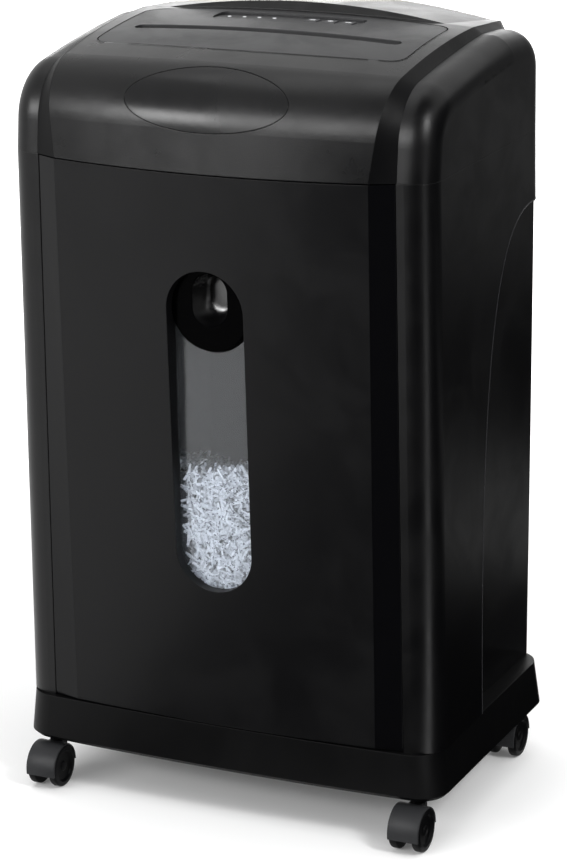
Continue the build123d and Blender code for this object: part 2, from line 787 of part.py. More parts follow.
def along_x(x, y, z):
    """Plane square to X, whose sketch axes are Y and Z."""
    return Plane(origin=(x, y, z), x_dir=(0, 1, 0), z_dir=(1, 0, 0))


# Places of the turning axes, as (y, z)
FRONT_AXIS = (SLOT_Y - CUTTER_SPACING / 2, CUTTER_Z)
REAR_AXIS = (SLOT_Y + CUTTER_SPACING / 2, CUTTER_Z)
DRIVE_DISTANCE = DRIVE_MODULE * (GEAR_TEETH + PINION_TEETH) / 2
MOTOR_DISTANCE = MOTOR_MODULE * (GEAR_TEETH + PINION_TEETH) / 2
IDLER_AXIS = (
    REAR_AXIS[0] + DRIVE_DISTANCE * cos(radians(IDLER_ANGLE)),
    REAR_AXIS[1] + DRIVE_DISTANCE * sin(radians(IDLER_ANGLE)),
)
MOTOR_AXIS = (IDLER_AXIS[0] + MOTOR_DISTANCE, IDLER_AXIS[1])
ROD_AXES = [
    (FRONT_AXIS[0] - 22.0, CUTTER_Z - 26.0),
    (FRONT_AXIS[0] - 2.5, CUTTER_Z + 24.5),
    (REAR_AXIS[0] + 22.0, CUTTER_Z - 26.0),
    (REAR_AXIS[0] + 18.0, CUTTER_Z + 28.0),
]

# Stations along X, from the right cutter plate outwards
PLATE_OUTER = PLATE_INNER + PLATE_THICK
SYNC_X = PLATE_OUTER + GEAR_GAP
DRIVE_X = SYNC_X + GEAR_WIDTH + GEAR_GAP
FIRST_X = DRIVE_X + GEAR_WIDTH + GEAR_GAP
COVER_X = FIRST_X + GEAR_WIDTH + GEAR_GAP
COVER_OUTER = COVER_X + 2.0


def mechanism_plate(x, thick, rear, round_holes, bush_holes=()):
    """Upright steel plate with holes for the rods, round holes as (centre, radius), and bush seats."""
    with BuildPart() as plate:
        with BuildSketch(Plane(origin=(x, 0, 0), x_dir=(0, 1, 0), z_dir=(1, 0, 0))):
            with BuildLine():
                Polyline(
                    (PLATE_FRONT, TRAY_TOP),
                    (rear, TRAY_TOP),
                    (rear, PLATE_TOP - PLATE_SLOPE),
                    (rear - PLATE_SLOPE, PLATE_TOP),
                    (PLATE_FRONT + PLATE_FRONT_SLOPE, PLATE_TOP),
                    (PLATE_FRONT, PLATE_TOP - PLATE_FRONT_SLOPE),
                    close=True,
                )
            make_face()
            for centre, radius in round_holes:
                with Locations(centre):
                    Circle(radius, mode=Mode.SUBTRACT)
            with Locations(*ROD_AXES):
                RegularPolygon(ROD_RADIUS + RUNNING, 6, mode=Mode.SUBTRACT)
            for centre in bush_holes:
                with Locations(centre):
                    RegularPolygon(BUSH_RADIUS + RUNNING, 8, mode=Mode.SUBTRACT)
        extrude(amount=thick)
    return plate.part


BUSH_SEATS = [FRONT_AXIS, REAR_AXIS]
IDLER_HOLE = (IDLER_AXIS, IDLER_PIN_RADIUS + RUNNING)
MOTOR_HOLE = (MOTOR_AXIS, MOTOR_SHAFT_RADIUS + FREE)
MOTOR_BEARING = (MOTOR_AXIS, MOTOR_SHAFT_RADIUS + RUNNING)
CUTTER_BEARING = (REAR_AXIS, JOURNAL_RADIUS + RUNNING)

with BuildPart() as left_cutter_plate:
    add(mechanism_plate(-PLATE_OUTER, PLATE_THICK, LEFT_PLATE_REAR, [], BUSH_SEATS))
save(left_cutter_plate.part, "left_cutter_plate")

with BuildPart() as right_cutter_plate:
    add(mechanism_plate(PLATE_INNER, PLATE_THICK, RIGHT_PLATE_REAR, [IDLER_HOLE, MOTOR_HOLE], BUSH_SEATS))
save(right_cutter_plate.part, "right_cutter_plate")

# Gear cover: outer plate that carries the far ends of the rods, the pin and the shafts
with BuildPart() as gear_cover:
    holes = [IDLER_HOLE, MOTOR_BEARING, CUTTER_BEARING]
    add(mechanism_plate(COVER_X, COVER_OUTER - COVER_X, RIGHT_PLATE_REAR, holes))
save(gear_cover.part, "gear_cover")

# Tie rods: hexagonal bars through all three plates
with BuildPart() as tie_rods:
    with BuildSketch(along_x(-PLATE_OUTER - 2, 0, 0)):
        with Locations(*ROD_AXES):
            RegularPolygon(ROD_RADIUS, 6)
    extrude(amount=PLATE_OUTER + 2 + COVER_OUTER)
save(tie_rods.part, "tie_rods")

with BuildPart() as cutter_bushes:
    for x in (-PLATE_OUTER, PLATE_INNER):
        with BuildSketch(along_x(x, 0, 0)):
            with Locations(FRONT_AXIS, REAR_AXIS):
                RegularPolygon(BUSH_RADIUS, 8)
                Circle(JOURNAL_RADIUS + RUNNING, mode=Mode.SUBTRACT)
        extrude(amount=PLATE_THICK)
save(cutter_bushes.part, "cutter_bushes")


def disc_points(turn):
    """Outline of one cutting disc: hooked teeth on a round blank."""
    points = []
    step = 2 * pi / DISC_TEETH
    for tooth in range(DISC_TEETH):
        start = turn + tooth * step
        for radius, share in ((DISC_TIP, 0.0), (DISC_HEEL, 0.1), (DISC_HEEL + 0.4, 0.55)):
            points.append((radius * cos(start + share * step), radius * sin(start + share * step)))
    return points


def cutter_cylinder(axis, first_disc, count, hand, reach):
    """Milled cutter: a hexagonal core with staggered discs, and a round journal at each end."""
    with BuildPart() as cutter:
        with BuildSketch(along_x(-PLATE_INNER + 0.5, *axis)):
            RegularPolygon(CORE_RADIUS, 6)
        extrude(amount=2 * PLATE_INNER - 1.0)
        for disc in range(count):
            with BuildSketch(along_x(first_disc + disc * DISC_PITCH - DISC_THICK / 2, *axis)):
                Polygon(*disc_points(hand * disc * radians(DISC_STAGGER)), align=None)
            extrude(amount=DISC_THICK)
        with BuildSketch(along_x(-PLATE_OUTER - 1.0, *axis)):
            Circle(JOURNAL_RADIUS)
        extrude(amount=PLATE_THICK + 1.5)
        with BuildSketch(along_x(PLATE_INNER - 0.5, *axis)):
            Circle(JOURNAL_RADIUS)
        extrude(amount=reach - PLATE_INNER + 0.5)
    return cutter.part


# Cutters: two interleaved cylinders
REAR_FIRST = -DISC_PITCH * (DISC_COUNT - 1) / 2
FRONT_FIRST = REAR_FIRST + DISC_PITCH / 2
with BuildPart() as rear_cutter:
    add(cutter_cylinder(REAR_AXIS, REAR_FIRST, DISC_COUNT, 1, COVER_OUTER))
save(rear_cutter.part, "rear_cutter")

with BuildPart() as front_cutter:
    add(cutter_cylinder(FRONT_AXIS, FRONT_FIRST, DISC_COUNT - 1, -1, SYNC_X + GEAR_WIDTH))
save(front_cutter.part, "front_cutter")


def stripper_comb(axis, first_disc, count, side):
    """Bar with a finger in each gap between the discs of one cutter."""
    root = axis[0] + side * (DISC_TIP + 1.5)
    tip = axis[0] + side * COMB_REACH
    with BuildPart() as comb:
        with Locations((0, root + side * COMB_BAR / 2, axis[1])):
            Box(2 * PLATE_INNER, COMB_BAR, COMB_HEIGHT)
        for gap in range(count - 1):
            x = first_disc + (gap + 0.5) * DISC_PITCH
            with Locations((x, (root + tip) / 2, axis[1])):
                Box(FINGER_THICK, abs(root - tip), COMB_HEIGHT - 6.0)
    return comb.part


with BuildPart() as rear_comb:
    add(stripper_comb(REAR_AXIS, REAR_FIRST, DISC_COUNT, 1))
save(rear_comb.part, "rear_comb")

with BuildPart() as front_comb:
    add(stripper_comb(FRONT_AXIS, FRONT_FIRST, DISC_COUNT - 1, -1))
save(front_comb.part, "front_comb")


def gear_points(teeth, module, turn):
    """Outline of a spur gear with straight flanks and a little backlash."""
    pitch = teeth * module / 2
    tip = pitch + 0.9 * module
    root = pitch - 1.15 * module
    half = pi / (2 * teeth) - BACKLASH * module / pitch
    flank = tan(radians(20.0))
    tip_half = half - flank * (tip - pitch) / tip
    root_half = half + flank * (pitch - root) * 0.6 / root
    points = []
    for tooth in range(teeth):
        middle = turn + 2 * pi * tooth / teeth
        flanks = ((root, -root_half), (tip, -tip_half), (tip, tip_half), (root, root_half))
        for radius, offset_angle in flanks:
            angle = middle + offset_angle
            points.append((radius * cos(angle), radius * sin(angle)))
    return points


def gear_body(axis, x, teeth, module, turn, bore):
    with BuildPart() as gear:
        with BuildSketch(along_x(x, *axis)):
            Polygon(*gear_points(teeth, module, turn), align=None)
            Circle(bore, mode=Mode.SUBTRACT)
        extrude(amount=GEAR_WIDTH)
    return gear.part


SYNC_MODULE = CUTTER_SPACING / SYNC_TEETH
SHAFT_FIT = 0.02

# Cutter gears: an equal pair that ties the two cutters together
with BuildPart() as rear_cutter_gear:
    add(gear_body(REAR_AXIS, SYNC_X, SYNC_TEETH, SYNC_MODULE, 0.0, JOURNAL_RADIUS + SHAFT_FIT))
save(rear_cutter_gear.part, "rear_cutter_gear")

with BuildPart() as front_cutter_gear:
    turn = pi / SYNC_TEETH
    add(gear_body(FRONT_AXIS, SYNC_X, SYNC_TEETH, SYNC_MODULE, turn, JOURNAL_RADIUS + SHAFT_FIT))
save(front_cutter_gear.part, "front_cutter_gear")

# Drive gear on the rear cutter, compound idler, and the motor's pinion
with BuildPart() as drive_gear:
    turn = radians(IDLER_ANGLE)
    add(gear_body(REAR_AXIS, DRIVE_X, GEAR_TEETH, DRIVE_MODULE, turn, JOURNAL_RADIUS + SHAFT_FIT))
save(drive_gear.part, "drive_gear")

with BuildPart() as idler_gear:
    turn = radians(IDLER_ANGLE) + pi + pi / PINION_TEETH
    bore = IDLER_PIN_RADIUS + RUNNING
    add(gear_body(IDLER_AXIS, DRIVE_X, PINION_TEETH, DRIVE_MODULE, turn, bore))
    add(gear_body(IDLER_AXIS, FIRST_X, GEAR_TEETH, MOTOR_MODULE, 0.0, bore))
    with BuildSketch(along_x(DRIVE_X + GEAR_WIDTH, *IDLER_AXIS)):
        Circle(IDLER_PIN_RADIUS + 2.5)
        Circle(bore, mode=Mode.SUBTRACT)
    extrude(amount=GEAR_GAP)
save(idler_gear.part, "idler_gear")

with BuildPart() as idler_pin:
    with BuildSketch(along_x(PLATE_INNER, *IDLER_AXIS)):
        Circle(IDLER_PIN_RADIUS)
    extrude(amount=COVER_OUTER - PLATE_INNER)
save(idler_pin.part, "idler_pin")

with BuildPart() as motor_pinion:
    turn = pi + pi / PINION_TEETH
    bore = MOTOR_SHAFT_RADIUS + SHAFT_FIT
    add(gear_body(MOTOR_AXIS, FIRST_X, PINION_TEETH, MOTOR_MODULE, turn, bore))
save(motor_pinion.part, "motor_pinion")

# Motor: can with a gearhead step, bolted to the right cutter plate, and its shaft
MOTOR_BACK = PLATE_INNER - MOTOR_LENGTH
with BuildPart() as motor_body:
    with BuildSketch(along_x(MOTOR_BACK, *MOTOR_AXIS)):
        Circle(MOTOR_RADIUS - MOTOR_STEP)
    extrude(amount=MOTOR_LENGTH - GEARHEAD_LENGTH)
    with BuildSketch(along_x(PLATE_INNER - GEARHEAD_LENGTH, *MOTOR_AXIS)):
        Circle(MOTOR_RADIUS)
    extrude(amount=GEARHEAD_LENGTH)
    with BuildSketch(along_x(MOTOR_BACK, *MOTOR_AXIS)):
        Circle(MOTOR_SHAFT_RADIUS + RUNNING)
    extrude(amount=MOTOR_LENGTH, mode=Mode.SUBTRACT)
save(motor_body.part, "motor_body")

with BuildPart() as motor_shaft:
    with BuildSketch(along_x(MOTOR_BACK - MOTOR_TAIL, *MOTOR_AXIS)):
        Circle(MOTOR_SHAFT_RADIUS)
    extrude(amount=COVER_OUTER - MOTOR_BACK + MOTOR_TAIL)
save(motor_shaft.part, "motor_shaft")

# Cooling fan on the motor's tail
with BuildPart() as motor_fan:
    with BuildSketch(along_x(MOTOR_BACK - MOTOR_TAIL, *MOTOR_AXIS)):
        Circle(FAN_HUB)
        with PolarLocations((FAN_RADIUS + FAN_HUB) / 2 - 1.0, FAN_BLADES):
            Rectangle(FAN_RADIUS - FAN_HUB + 2.0, 2.0)
        Circle(MOTOR_SHAFT_RADIUS + SHAFT_FIT, mode=Mode.SUBTRACT)
    extrude(amount=MOTOR_TAIL - 2.0)
save(motor_fan.part, "motor_fan")


def console_level(y):
    share = (y - CONSOLE_FRONT) / (CONSOLE_REAR - CONSOLE_FRONT)
    return CONSOLE_FRONT_Z + (CONSOLE_REAR_Z - CONSOLE_FRONT_Z) * share


CONSOLE_MIDDLE = (CONSOLE_FRONT + CONSOLE_REAR) / 2
CONSOLE_LEVEL = console_level(CONSOLE_MIDDLE)
BOARD_TOP = BOARD_Z + BOARD_THICK
BUTTON_X = [BUTTON_FIRST_X + BUTTON_PITCH * index for index in range(3)]
LIGHT_X = [LIGHT_FIRST_X + LIGHT_PITCH * index for index in range(LIGHT_COUNT)]

# Control console: sunk plate under the panel's opening, with a flange behind the panel's edge
with BuildPart() as console_well:
    with BuildSketch(Plane.YZ.offset(-CONSOLE_HALF - 1)):
        with BuildLine():
            Polyline(
                (CONSOLE_FRONT - 1, console_level(CONSOLE_FRONT - 1)),
                (CONSOLE_REAR + 1, console_level(CONSOLE_REAR + 1)),
                (CONSOLE_REAR + 1, BROW_CREST + 5),
                (CONSOLE_FRONT - 1, BROW_CREST + 5),
                close=True,
            )
        make_face()
    extrude(amount=2 * CONSOLE_HALF + 2)
    add(console_prism(), mode=Mode.INTERSECT)

with BuildPart() as console_plate:
    add(console_prism(-PANEL_GAP))
    add(head_outer, mode=Mode.INTERSECT)

with BuildPart() as control_console:
    add(console_prism(CONSOLE_FLANGE))
    add(head_under_panel, mode=Mode.INTERSECT)
    add(console_plate.part)
    add(head_under_console, mode=Mode.SUBTRACT)
    add(console_well.part, mode=Mode.SUBTRACT)
    with BuildSketch(Plane.XY.offset(BOARD_TOP)):
        with Locations((0, CONSOLE_MIDDLE)):
            with GridLocations(2 * CONSOLE_HALF - 4, CONSOLE_REAR - CONSOLE_FRONT, 2, 2):
                Rectangle(POST_SIZE, POST_SIZE)
    extrude(amount=CONSOLE_LEVEL - 4.0 - BOARD_TOP)
    with BuildSketch(Plane.XY.offset(BOARD_TOP)):
        with Locations(*[(x, CONSOLE_MIDDLE) for x in BUTTON_X]):
            Rectangle(BUTTON_SIZE + 2 * FREE, BUTTON_SIZE + 2 * FREE)
        with Locations(*[(x, CONSOLE_MIDDLE) for x in LIGHT_X]):
            Rectangle(LIGHT_SIZE + 2 * RUNNING, LIGHT_SIZE + 2 * RUNNING)
    extrude(amount=BROW_CREST - BOARD_TOP, mode=Mode.SUBTRACT)
save(control_console.part, "control_console")

# Push buttons, each standing over its switch on the board
for button_name, x in zip(("reverse_button", "auto_button", "forward_button"), BUTTON_X):
    with BuildPart() as button:
        with BuildSketch(Plane.XY.offset(BOARD_TOP + BUTTON_TRAVEL + FREE)):
            with Locations((x, CONSOLE_MIDDLE)):
                Rectangle(BUTTON_SIZE, BUTTON_SIZE)
        extrude(amount=CONSOLE_LEVEL + BUTTON_PROUD - BOARD_TOP - BUTTON_TRAVEL - FREE)
    save(button.part, button_name)

with BuildPart() as indicator_lights:
    with BuildSketch(Plane.XY.offset(BOARD_TOP)):
        with Locations(*[(x, CONSOLE_MIDDLE) for x in LIGHT_X]):
            Rectangle(LIGHT_SIZE, LIGHT_SIZE)
    extrude(amount=CONSOLE_LEVEL - BOARD_TOP)
save(indicator_lights.part, "indicator_lights")

with BuildPart() as control_board:
    with BuildSketch(Plane.XY.offset(BOARD_Z)):
        with Locations((0, CONSOLE_MIDDLE)):
            Rectangle(2 * BOARD_HALF, CONSOLE_REAR - CONSOLE_FRONT + 10)
    extrude(amount=BOARD_THICK)
save(control_board.part, "control_board")

# Interlock switch under the tray, over the bin's rim
with BuildPart() as interlock_switch:
    with Locations((INTERLOCK_X, INTERLOCK_Y, HEAD_SEAM - INTERLOCK_HEIGHT / 2)):
        Box(20, 8, INTERLOCK_HEIGHT)
save(interlock_switch.part, "interlock_switch")

# Cord gland in the back panel
with BuildPart() as cord_gland:
    with BuildSketch(Plane.XZ.offset(-HEAD_REAR - GLAND_RIM)):
        with Locations((GLAND_X, GLAND_Z)):
            Circle(GLAND_FLANGE)
    extrude(amount=GLAND_RIM)
    with BuildSketch(Plane.XZ.offset(-HEAD_REAR)):
        with Locations((GLAND_X, GLAND_Z)):
            Circle(GLAND_RADIUS)
    extrude(amount=GLAND_LENGTH)
    with BuildSketch(Plane.XZ.offset(-HEAD_REAR - GLAND_RIM)):
        with Locations((GLAND_X, GLAND_Z)):
            Circle(GLAND_BORE)
    extrude(amount=GLAND_LENGTH + GLAND_RIM, mode=Mode.SUBTRACT)
save(cord_gland.part, "cord_gland")

# Power switch: frame in the back panel and its rocker
ROCKER_Y = HEAD_REAR - 5.0
FRAME_DEPTH = 14.0
with BuildPart() as switch_frame:
    with BuildSketch(Plane.XZ.offset(-HEAD_REAR - FRAME_RIM)):
        with Locations((ROCKER_X, GLAND_Z)):
            Rectangle(2 * FRAME_HALF_WIDTH + 3, 2 * FRAME_HALF_HEIGHT + 3)
    extrude(amount=FRAME_RIM)
    with BuildSketch(Plane.XZ.offset(-HEAD_REAR)):
        with Locations((ROCKER_X, GLAND_Z)):
            Rectangle(2 * FRAME_HALF_WIDTH, 2 * FRAME_HALF_HEIGHT)
    extrude(amount=FRAME_DEPTH)
    with BuildSketch(Plane.XZ.offset(-HEAD_REAR - FRAME_RIM)):
        with Locations((ROCKER_X, GLAND_Z)):
            Rectangle(2 * (ROCKER_HALF_WIDTH + FREE), 2 * (ROCKER_HALF_HEIGHT + FREE))
    extrude(amount=FRAME_DEPTH, mode=Mode.SUBTRACT)
    with BuildSketch(along_x(ROCKER_X - ROCKER_HALF_WIDTH - 1.5, ROCKER_Y, GLAND_Z)):
        Circle(ROCKER_PIN + RUNNING)
    extrude(amount=2 * ROCKER_HALF_WIDTH + 3.0, mode=Mode.SUBTRACT)
save(switch_frame.part, "switch_frame")

with BuildPart() as power_rocker:
    with BuildSketch(along_x(ROCKER_X - ROCKER_HALF_WIDTH, ROCKER_Y, GLAND_Z)):
        with Locations((1.0, 0)):
            Rectangle(ROCKER_DEPTH, 2 * ROCKER_HALF_HEIGHT - 1.5, rotation=ROCKER_TILT)
    extrude(amount=2 * ROCKER_HALF_WIDTH)
    with BuildSketch(along_x(ROCKER_X - ROCKER_HALF_WIDTH - 1.2, ROCKER_Y, GLAND_Z)):
        Circle(ROCKER_PIN)
    extrude(amount=2 * ROCKER_HALF_WIDTH + 2.4)
save(power_rocker.part, "power_rocker")

# Casters: stems fixed in the base, hoods that swivel on them, and wheel pairs moulded on one axle
with BuildPart() as caster_stems:
    with BuildSketch(Plane.XY.offset(STEM_LOW)):
        with Locations(*CASTERS.values()):
            Circle(STEM_RADIUS)
    extrude(amount=BOSS_BOTTOM - STEM_LOW)
    with BuildSketch(Plane.XY.offset(BOSS_BOTTOM)):
        with Locations(*CASTERS.values()):
            RegularPolygon(STEM_RADIUS, STEM_SIDES)
    extrude(amount=STEM_HIGH - BOSS_BOTTOM)
save(caster_stems.part, "caster_stems")


def caster_hood(x, y):
    """Web with the stem and axle bores, under an arched fender over the wheels."""
    axle_y = y - CASTER_TRAIL
    half = WHEEL_INNER + WHEEL_WIDTH
    inner = HOOD_RADIUS - HOOD_THICK
    with BuildPart() as hood:
        with BuildSketch(along_x(x - half, axle_y, WHEEL_RADIUS)):
            with BuildLine():
                rim = CenterArc((0, 0), HOOD_RADIUS, HOOD_START, HOOD_SWEEP)
                lining = CenterArc((0, 0), inner, HOOD_START, HOOD_SWEEP)
                Line(rim @ 0, lining @ 0)
                Line(rim @ 1, lining @ 1)
            make_face()
        extrude(amount=2 * half)
        with BuildSketch(along_x(x - HOOD_WEB, axle_y, WHEEL_RADIUS)):
            with BuildLine():
                top = HOOD_TOP - WHEEL_RADIUS
                back = CASTER_TRAIL + STEM_RADIUS + HOOD_SOCKET
                heel = (back - HOOD_CHAMFER, -HOOD_FOOT)
                corner = (back, HOOD_CHAMFER - HOOD_FOOT)
                front = CenterArc((0, 0), inner + HOOD_THICK / 2, 90, 100)
                Polyline(front @ 1, (0, -HOOD_FOOT), heel, corner, (back, top), (0, top), front @ 0)
            make_face()
        extrude(amount=2 * HOOD_WEB)
        with BuildSketch(Plane.XY.offset(STEM_LOW - FREE)):
            with Locations((x, y)):
                Circle(STEM_RADIUS + RUNNING)
        extrude(amount=BASE_TOP, mode=Mode.SUBTRACT)
        with BuildSketch(Plane.XY.offset(HOOD_TOP)):
            with Locations((x, y)):
                Circle(BOSS_RADIUS + FREE)
        extrude(amount=BASE_TOP, mode=Mode.SUBTRACT)
        with BuildSketch(along_x(x - half - 1, axle_y, WHEEL_RADIUS)):
            Circle(AXLE_RADIUS + RUNNING)
        extrude(amount=2 * half + 2, mode=Mode.SUBTRACT)
    return hood.part


for place, (x, y) in CASTERS.items():
    axle_y = y - CASTER_TRAIL
    with BuildPart() as hood:
        add(caster_hood(x, y))
    save(hood.part, f"{place}_caster_hood")

    with BuildPart() as wheels:
        with BuildSketch(along_x(x - WHEEL_INNER - WHEEL_WIDTH, axle_y, WHEEL_RADIUS)):
            Circle(WHEEL_RADIUS)
        extrude(amount=WHEEL_WIDTH)
        with BuildSketch(along_x(x - WHEEL_INNER, axle_y, WHEEL_RADIUS)):
            Circle(AXLE_RADIUS)
        extrude(amount=2 * WHEEL_INNER)
        with BuildSketch(along_x(x + WHEEL_INNER, axle_y, WHEEL_RADIUS)):
            Circle(WHEEL_RADIUS)
        extrude(amount=WHEEL_WIDTH)
    save(wheels.part, f"{place}_caster_wheels")
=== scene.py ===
# %% [markdown]
# A paper shredder in Blender
#
# The machine is a black moulded head on a cabinet with a pull-out bin, and it stands on four twin-wheel
# casters. The CAD model gives every solid piece in its real place, in metres. This script loads that model as
# a fixed frame and adds what CAD can't give: finishes, light, the loose shreds and the small fittings.

# %% Load the frame
import json
import math
import random

import bmesh
import bpy
from mathutils import Euler, Matrix, Vector, noise


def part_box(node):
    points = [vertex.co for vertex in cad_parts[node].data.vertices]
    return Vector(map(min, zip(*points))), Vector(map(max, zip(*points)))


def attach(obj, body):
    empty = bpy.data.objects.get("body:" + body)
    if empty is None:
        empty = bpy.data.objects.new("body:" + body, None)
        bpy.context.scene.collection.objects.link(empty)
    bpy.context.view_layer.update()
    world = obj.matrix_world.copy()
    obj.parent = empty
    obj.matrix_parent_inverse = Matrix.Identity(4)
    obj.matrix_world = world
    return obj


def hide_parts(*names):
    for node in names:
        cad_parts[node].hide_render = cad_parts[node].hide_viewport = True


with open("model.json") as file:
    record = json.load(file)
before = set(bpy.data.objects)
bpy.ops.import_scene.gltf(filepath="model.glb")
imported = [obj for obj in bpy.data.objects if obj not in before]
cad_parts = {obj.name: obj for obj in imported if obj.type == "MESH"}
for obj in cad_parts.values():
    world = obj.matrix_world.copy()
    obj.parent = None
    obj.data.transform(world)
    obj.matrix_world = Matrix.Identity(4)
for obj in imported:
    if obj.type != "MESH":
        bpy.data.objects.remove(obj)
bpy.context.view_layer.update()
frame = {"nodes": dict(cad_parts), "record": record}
nodes = frame["nodes"]
scene = bpy.context.scene
scene.view_settings.view_transform = "Standard"

# %% [markdown]
# The camera stands where the photographer stood. Its place and turn were worked out once from straight edges
# of the machine, so here they are plain numbers: where it stands, which way is right, and which way is up. A
# long lens far away keeps the upright edges nearly parallel.

# %% Camera
CAMERA_PLACE = Vector((1.015377, -2.108015, 1.019105))
CAMERA_RIGHT = Vector((0.90405921, 0.42704225, -0.01765965))
CAMERA_UP = Vector((-0.11200201, 0.2765805, 0.9544416))
CAMERA_LENS = 127.717
VIEW_LIMIT = 50.0


def add_object(name, data):
    """An object at the origin, linked to the scene."""
    made = bpy.data.objects.new(name, data)
    scene.collection.objects.link(made)
    return made


camera_data = bpy.data.cameras.new("photo_camera")
camera_data.lens = CAMERA_LENS
camera_data.clip_end = VIEW_LIMIT
camera = add_object("photo_camera", camera_data)
camera_turn = Matrix((CAMERA_RIGHT, CAMERA_UP, CAMERA_RIGHT.cross(CAMERA_UP))).transposed()
camera.matrix_world = Matrix.Translation(CAMERA_PLACE) @ camera_turn.to_4x4()
scene.camera = camera
print("camera at", tuple(round(c, 3) for c in CAMERA_PLACE))

# %% [markdown]
# Finishes and lights are node trees. A few helpers keep them short. A node's sockets are given by name, each
# with a plain value or with the socket that feeds it, so one call adds a node with its links.


# %% Small helpers for node trees
def empty_tree(owner):
    """The node tree of a material or a world, with nothing in it."""
    owner.use_nodes = True
    owner.node_tree.nodes.clear()
    return owner.node_tree


def new_finish(name):
    """A material and its empty tree."""
    made = bpy.data.materials.new(name)
    return made, empty_tree(made)


def feed(tree, value, target):
    """Gives a socket its value: a link from another socket, or a plain value."""
    if isinstance(value, bpy.types.NodeSocket):
        tree.links.new(value, target)
    else:
        target.default_value = value


def add_node(tree, kind, **settings):
    """The outputs of one new node; a setting names a socket, with _ for blanks, or a property of the node."""
    made = tree.nodes.new(kind)
    for key, value in settings.items():
        label = key.replace("_", " ")
        if label in made.inputs:
            feed(tree, value, made.inputs[label])
        else:
            setattr(made, key, value)
    return made.outputs


def calculate(tree, operation, *values, kind="ShaderNodeMath"):
    """The result of one sum; each value is a socket or a plain value."""
    made = tree.nodes.new(kind)
    made.operation = operation
    for value, target in zip(values, made.inputs):
        feed(tree, value, target)
    return made.outputs["Value"]


def ranged(tree, value, **settings):
    """A value socket brought from one range to another."""
    return add_node(tree, "ShaderNodeMapRange", Value=value, **settings)[0]


def object_place(tree):
    """Where a point of the surface lies on its object."""
    return add_node(tree, "ShaderNodeTexCoord")["Object"]


def object_noise(tree, scale, **settings):
    """Noise that stays in its place on the object."""
    return add_node(tree, "ShaderNodeTexNoise", Vector=object_place(tree), Scale=scale, **settings)[0]


def seen_directly(tree):
    """1 for rays from the camera or from a mirror-like or clear surface, 0 for rays that carry light."""
    path = add_node(tree, "ShaderNodeLightPath")
    opaque = calculate(tree, "MAXIMUM", path["Is Camera Ray"], path["Is Glossy Ray"])
    return calculate(tree, "MAXIMUM", opaque, path["Is Transmission Ray"])


# %% [markdown]
# A product photo has a floor that melts into a white background. The floor is a real white surface, so the
# machine's shadow falls on it, and Light Path makes the background white for the camera and for mirror-like
# surfaces. The light that the surroundings really give comes mostly from above and fades towards the horizon,
# which keeps the floor under the machine dark. Away from the machine the floor is lifted to white, but only
# for the camera, so that the machine doesn't mirror it.

# %% Floor, backdrop and light from all round
FLOOR_SIZE = 12.0
FLOOR_WHITE = (0.92, 0.92, 0.92, 1.0)
WHITE = (1.0, 1.0, 1.0, 1.0)
FLOOR_LIFT = 0.08
FLOOR_LIFT_FAR = 0.80
LIFT_START = 0.35
LIFT_END = 1.40
LIGHT_FROM_ABOVE = 1.30
LIGHT_FROM_SIDES = 0.06


def mesh_from(shape, name):
    """The mesh of a finished bmesh."""
    mesh = bpy.data.meshes.new(name)
    shape.to_mesh(mesh)
    shape.free()
    return mesh


scene.world = bpy.data.worlds.new("studio")
tree = empty_tree(scene.world)
direction = add_node(tree, "ShaderNodeTexCoord")["Generated"]
rise = add_node(tree, "ShaderNodeSeparateXYZ", Vector=direction)["Z"]
sky = ranged(tree, rise, To_Min=LIGHT_FROM_SIDES, To_Max=LIGHT_FROM_ABOVE)
shade = ranged(tree, seen_directly(tree), To_Min=sky)
surround = add_node(tree, "ShaderNodeBackground", Color=WHITE, Strength=shade)[0]
add_node(tree, "ShaderNodeOutputWorld", Surface=surround)

floor_finish, tree = new_finish("studio_floor")
reach = calculate(tree, "LENGTH", object_place(tree), kind="ShaderNodeVectorMath")
far_lift = ranged(tree, reach, From_Min=LIFT_START, From_Max=LIFT_END, To_Max=FLOOR_LIFT_FAR)
far_glow = calculate(tree, "MULTIPLY", far_lift, add_node(tree, "ShaderNodeLightPath")["Is Camera Ray"])
glow_level = calculate(tree, "MULTIPLY_ADD", seen_directly(tree), FLOOR_LIFT, far_glow)
matt = add_node(tree, "ShaderNodeBsdfDiffuse", Color=FLOOR_WHITE)[0]
glow = add_node(tree, "ShaderNodeEmission", Strength=glow_level)[0]
both = tree.nodes.new("ShaderNodeAddShader")
feed(tree, matt, both.inputs[0])
feed(tree, glow, both.inputs[1])
add_node(tree, "ShaderNodeOutputMaterial", Surface=both.outputs[0])

floor_shape = bmesh.new()
bmesh.ops.create_grid(floor_shape, x_segments=1, y_segments=1, size=FLOOR_SIZE)
floor_mesh = mesh_from(floor_shape, "floor")
floor_mesh.materials.append(floor_finish)
floor = add_object("floor", floor_mesh)
print("floor half side:", FLOOR_SIZE)

# %% [markdown]
# Black plastic is read by what it mirrors, so the lamps are few and each draws one line of light: a wide box
# at the front left makes the band across the bowed brow, a tall one at the right the spot on the rounded
# corner, and a low one behind the sheen on the rear deck. A weak box overhead softens the shadow.

# %% Lamps
# Each row is a name, a place, a place to aim at, the width and height of the lamp's face, and its radiance
LAMPS = (
    ("front_box", (-1.10, -2.30, 1.38), (0.0, 0.0, 0.45), 1.8, 0.46, 11.0),
    ("top_box", (-0.3, 0.3, 2.4), (0.0, 0.0, 0.3), 1.5, 1.0, 1.2),
    ("corner_box", (1.75, -0.80, 1.70), (0.15, -0.1, 0.55), 0.34, 0.8, 30.0),
    ("back_box", (-1.0, 2.4, 0.95), (0.0, 0.1, 0.62), 1.8, 0.30, 5.0),
)


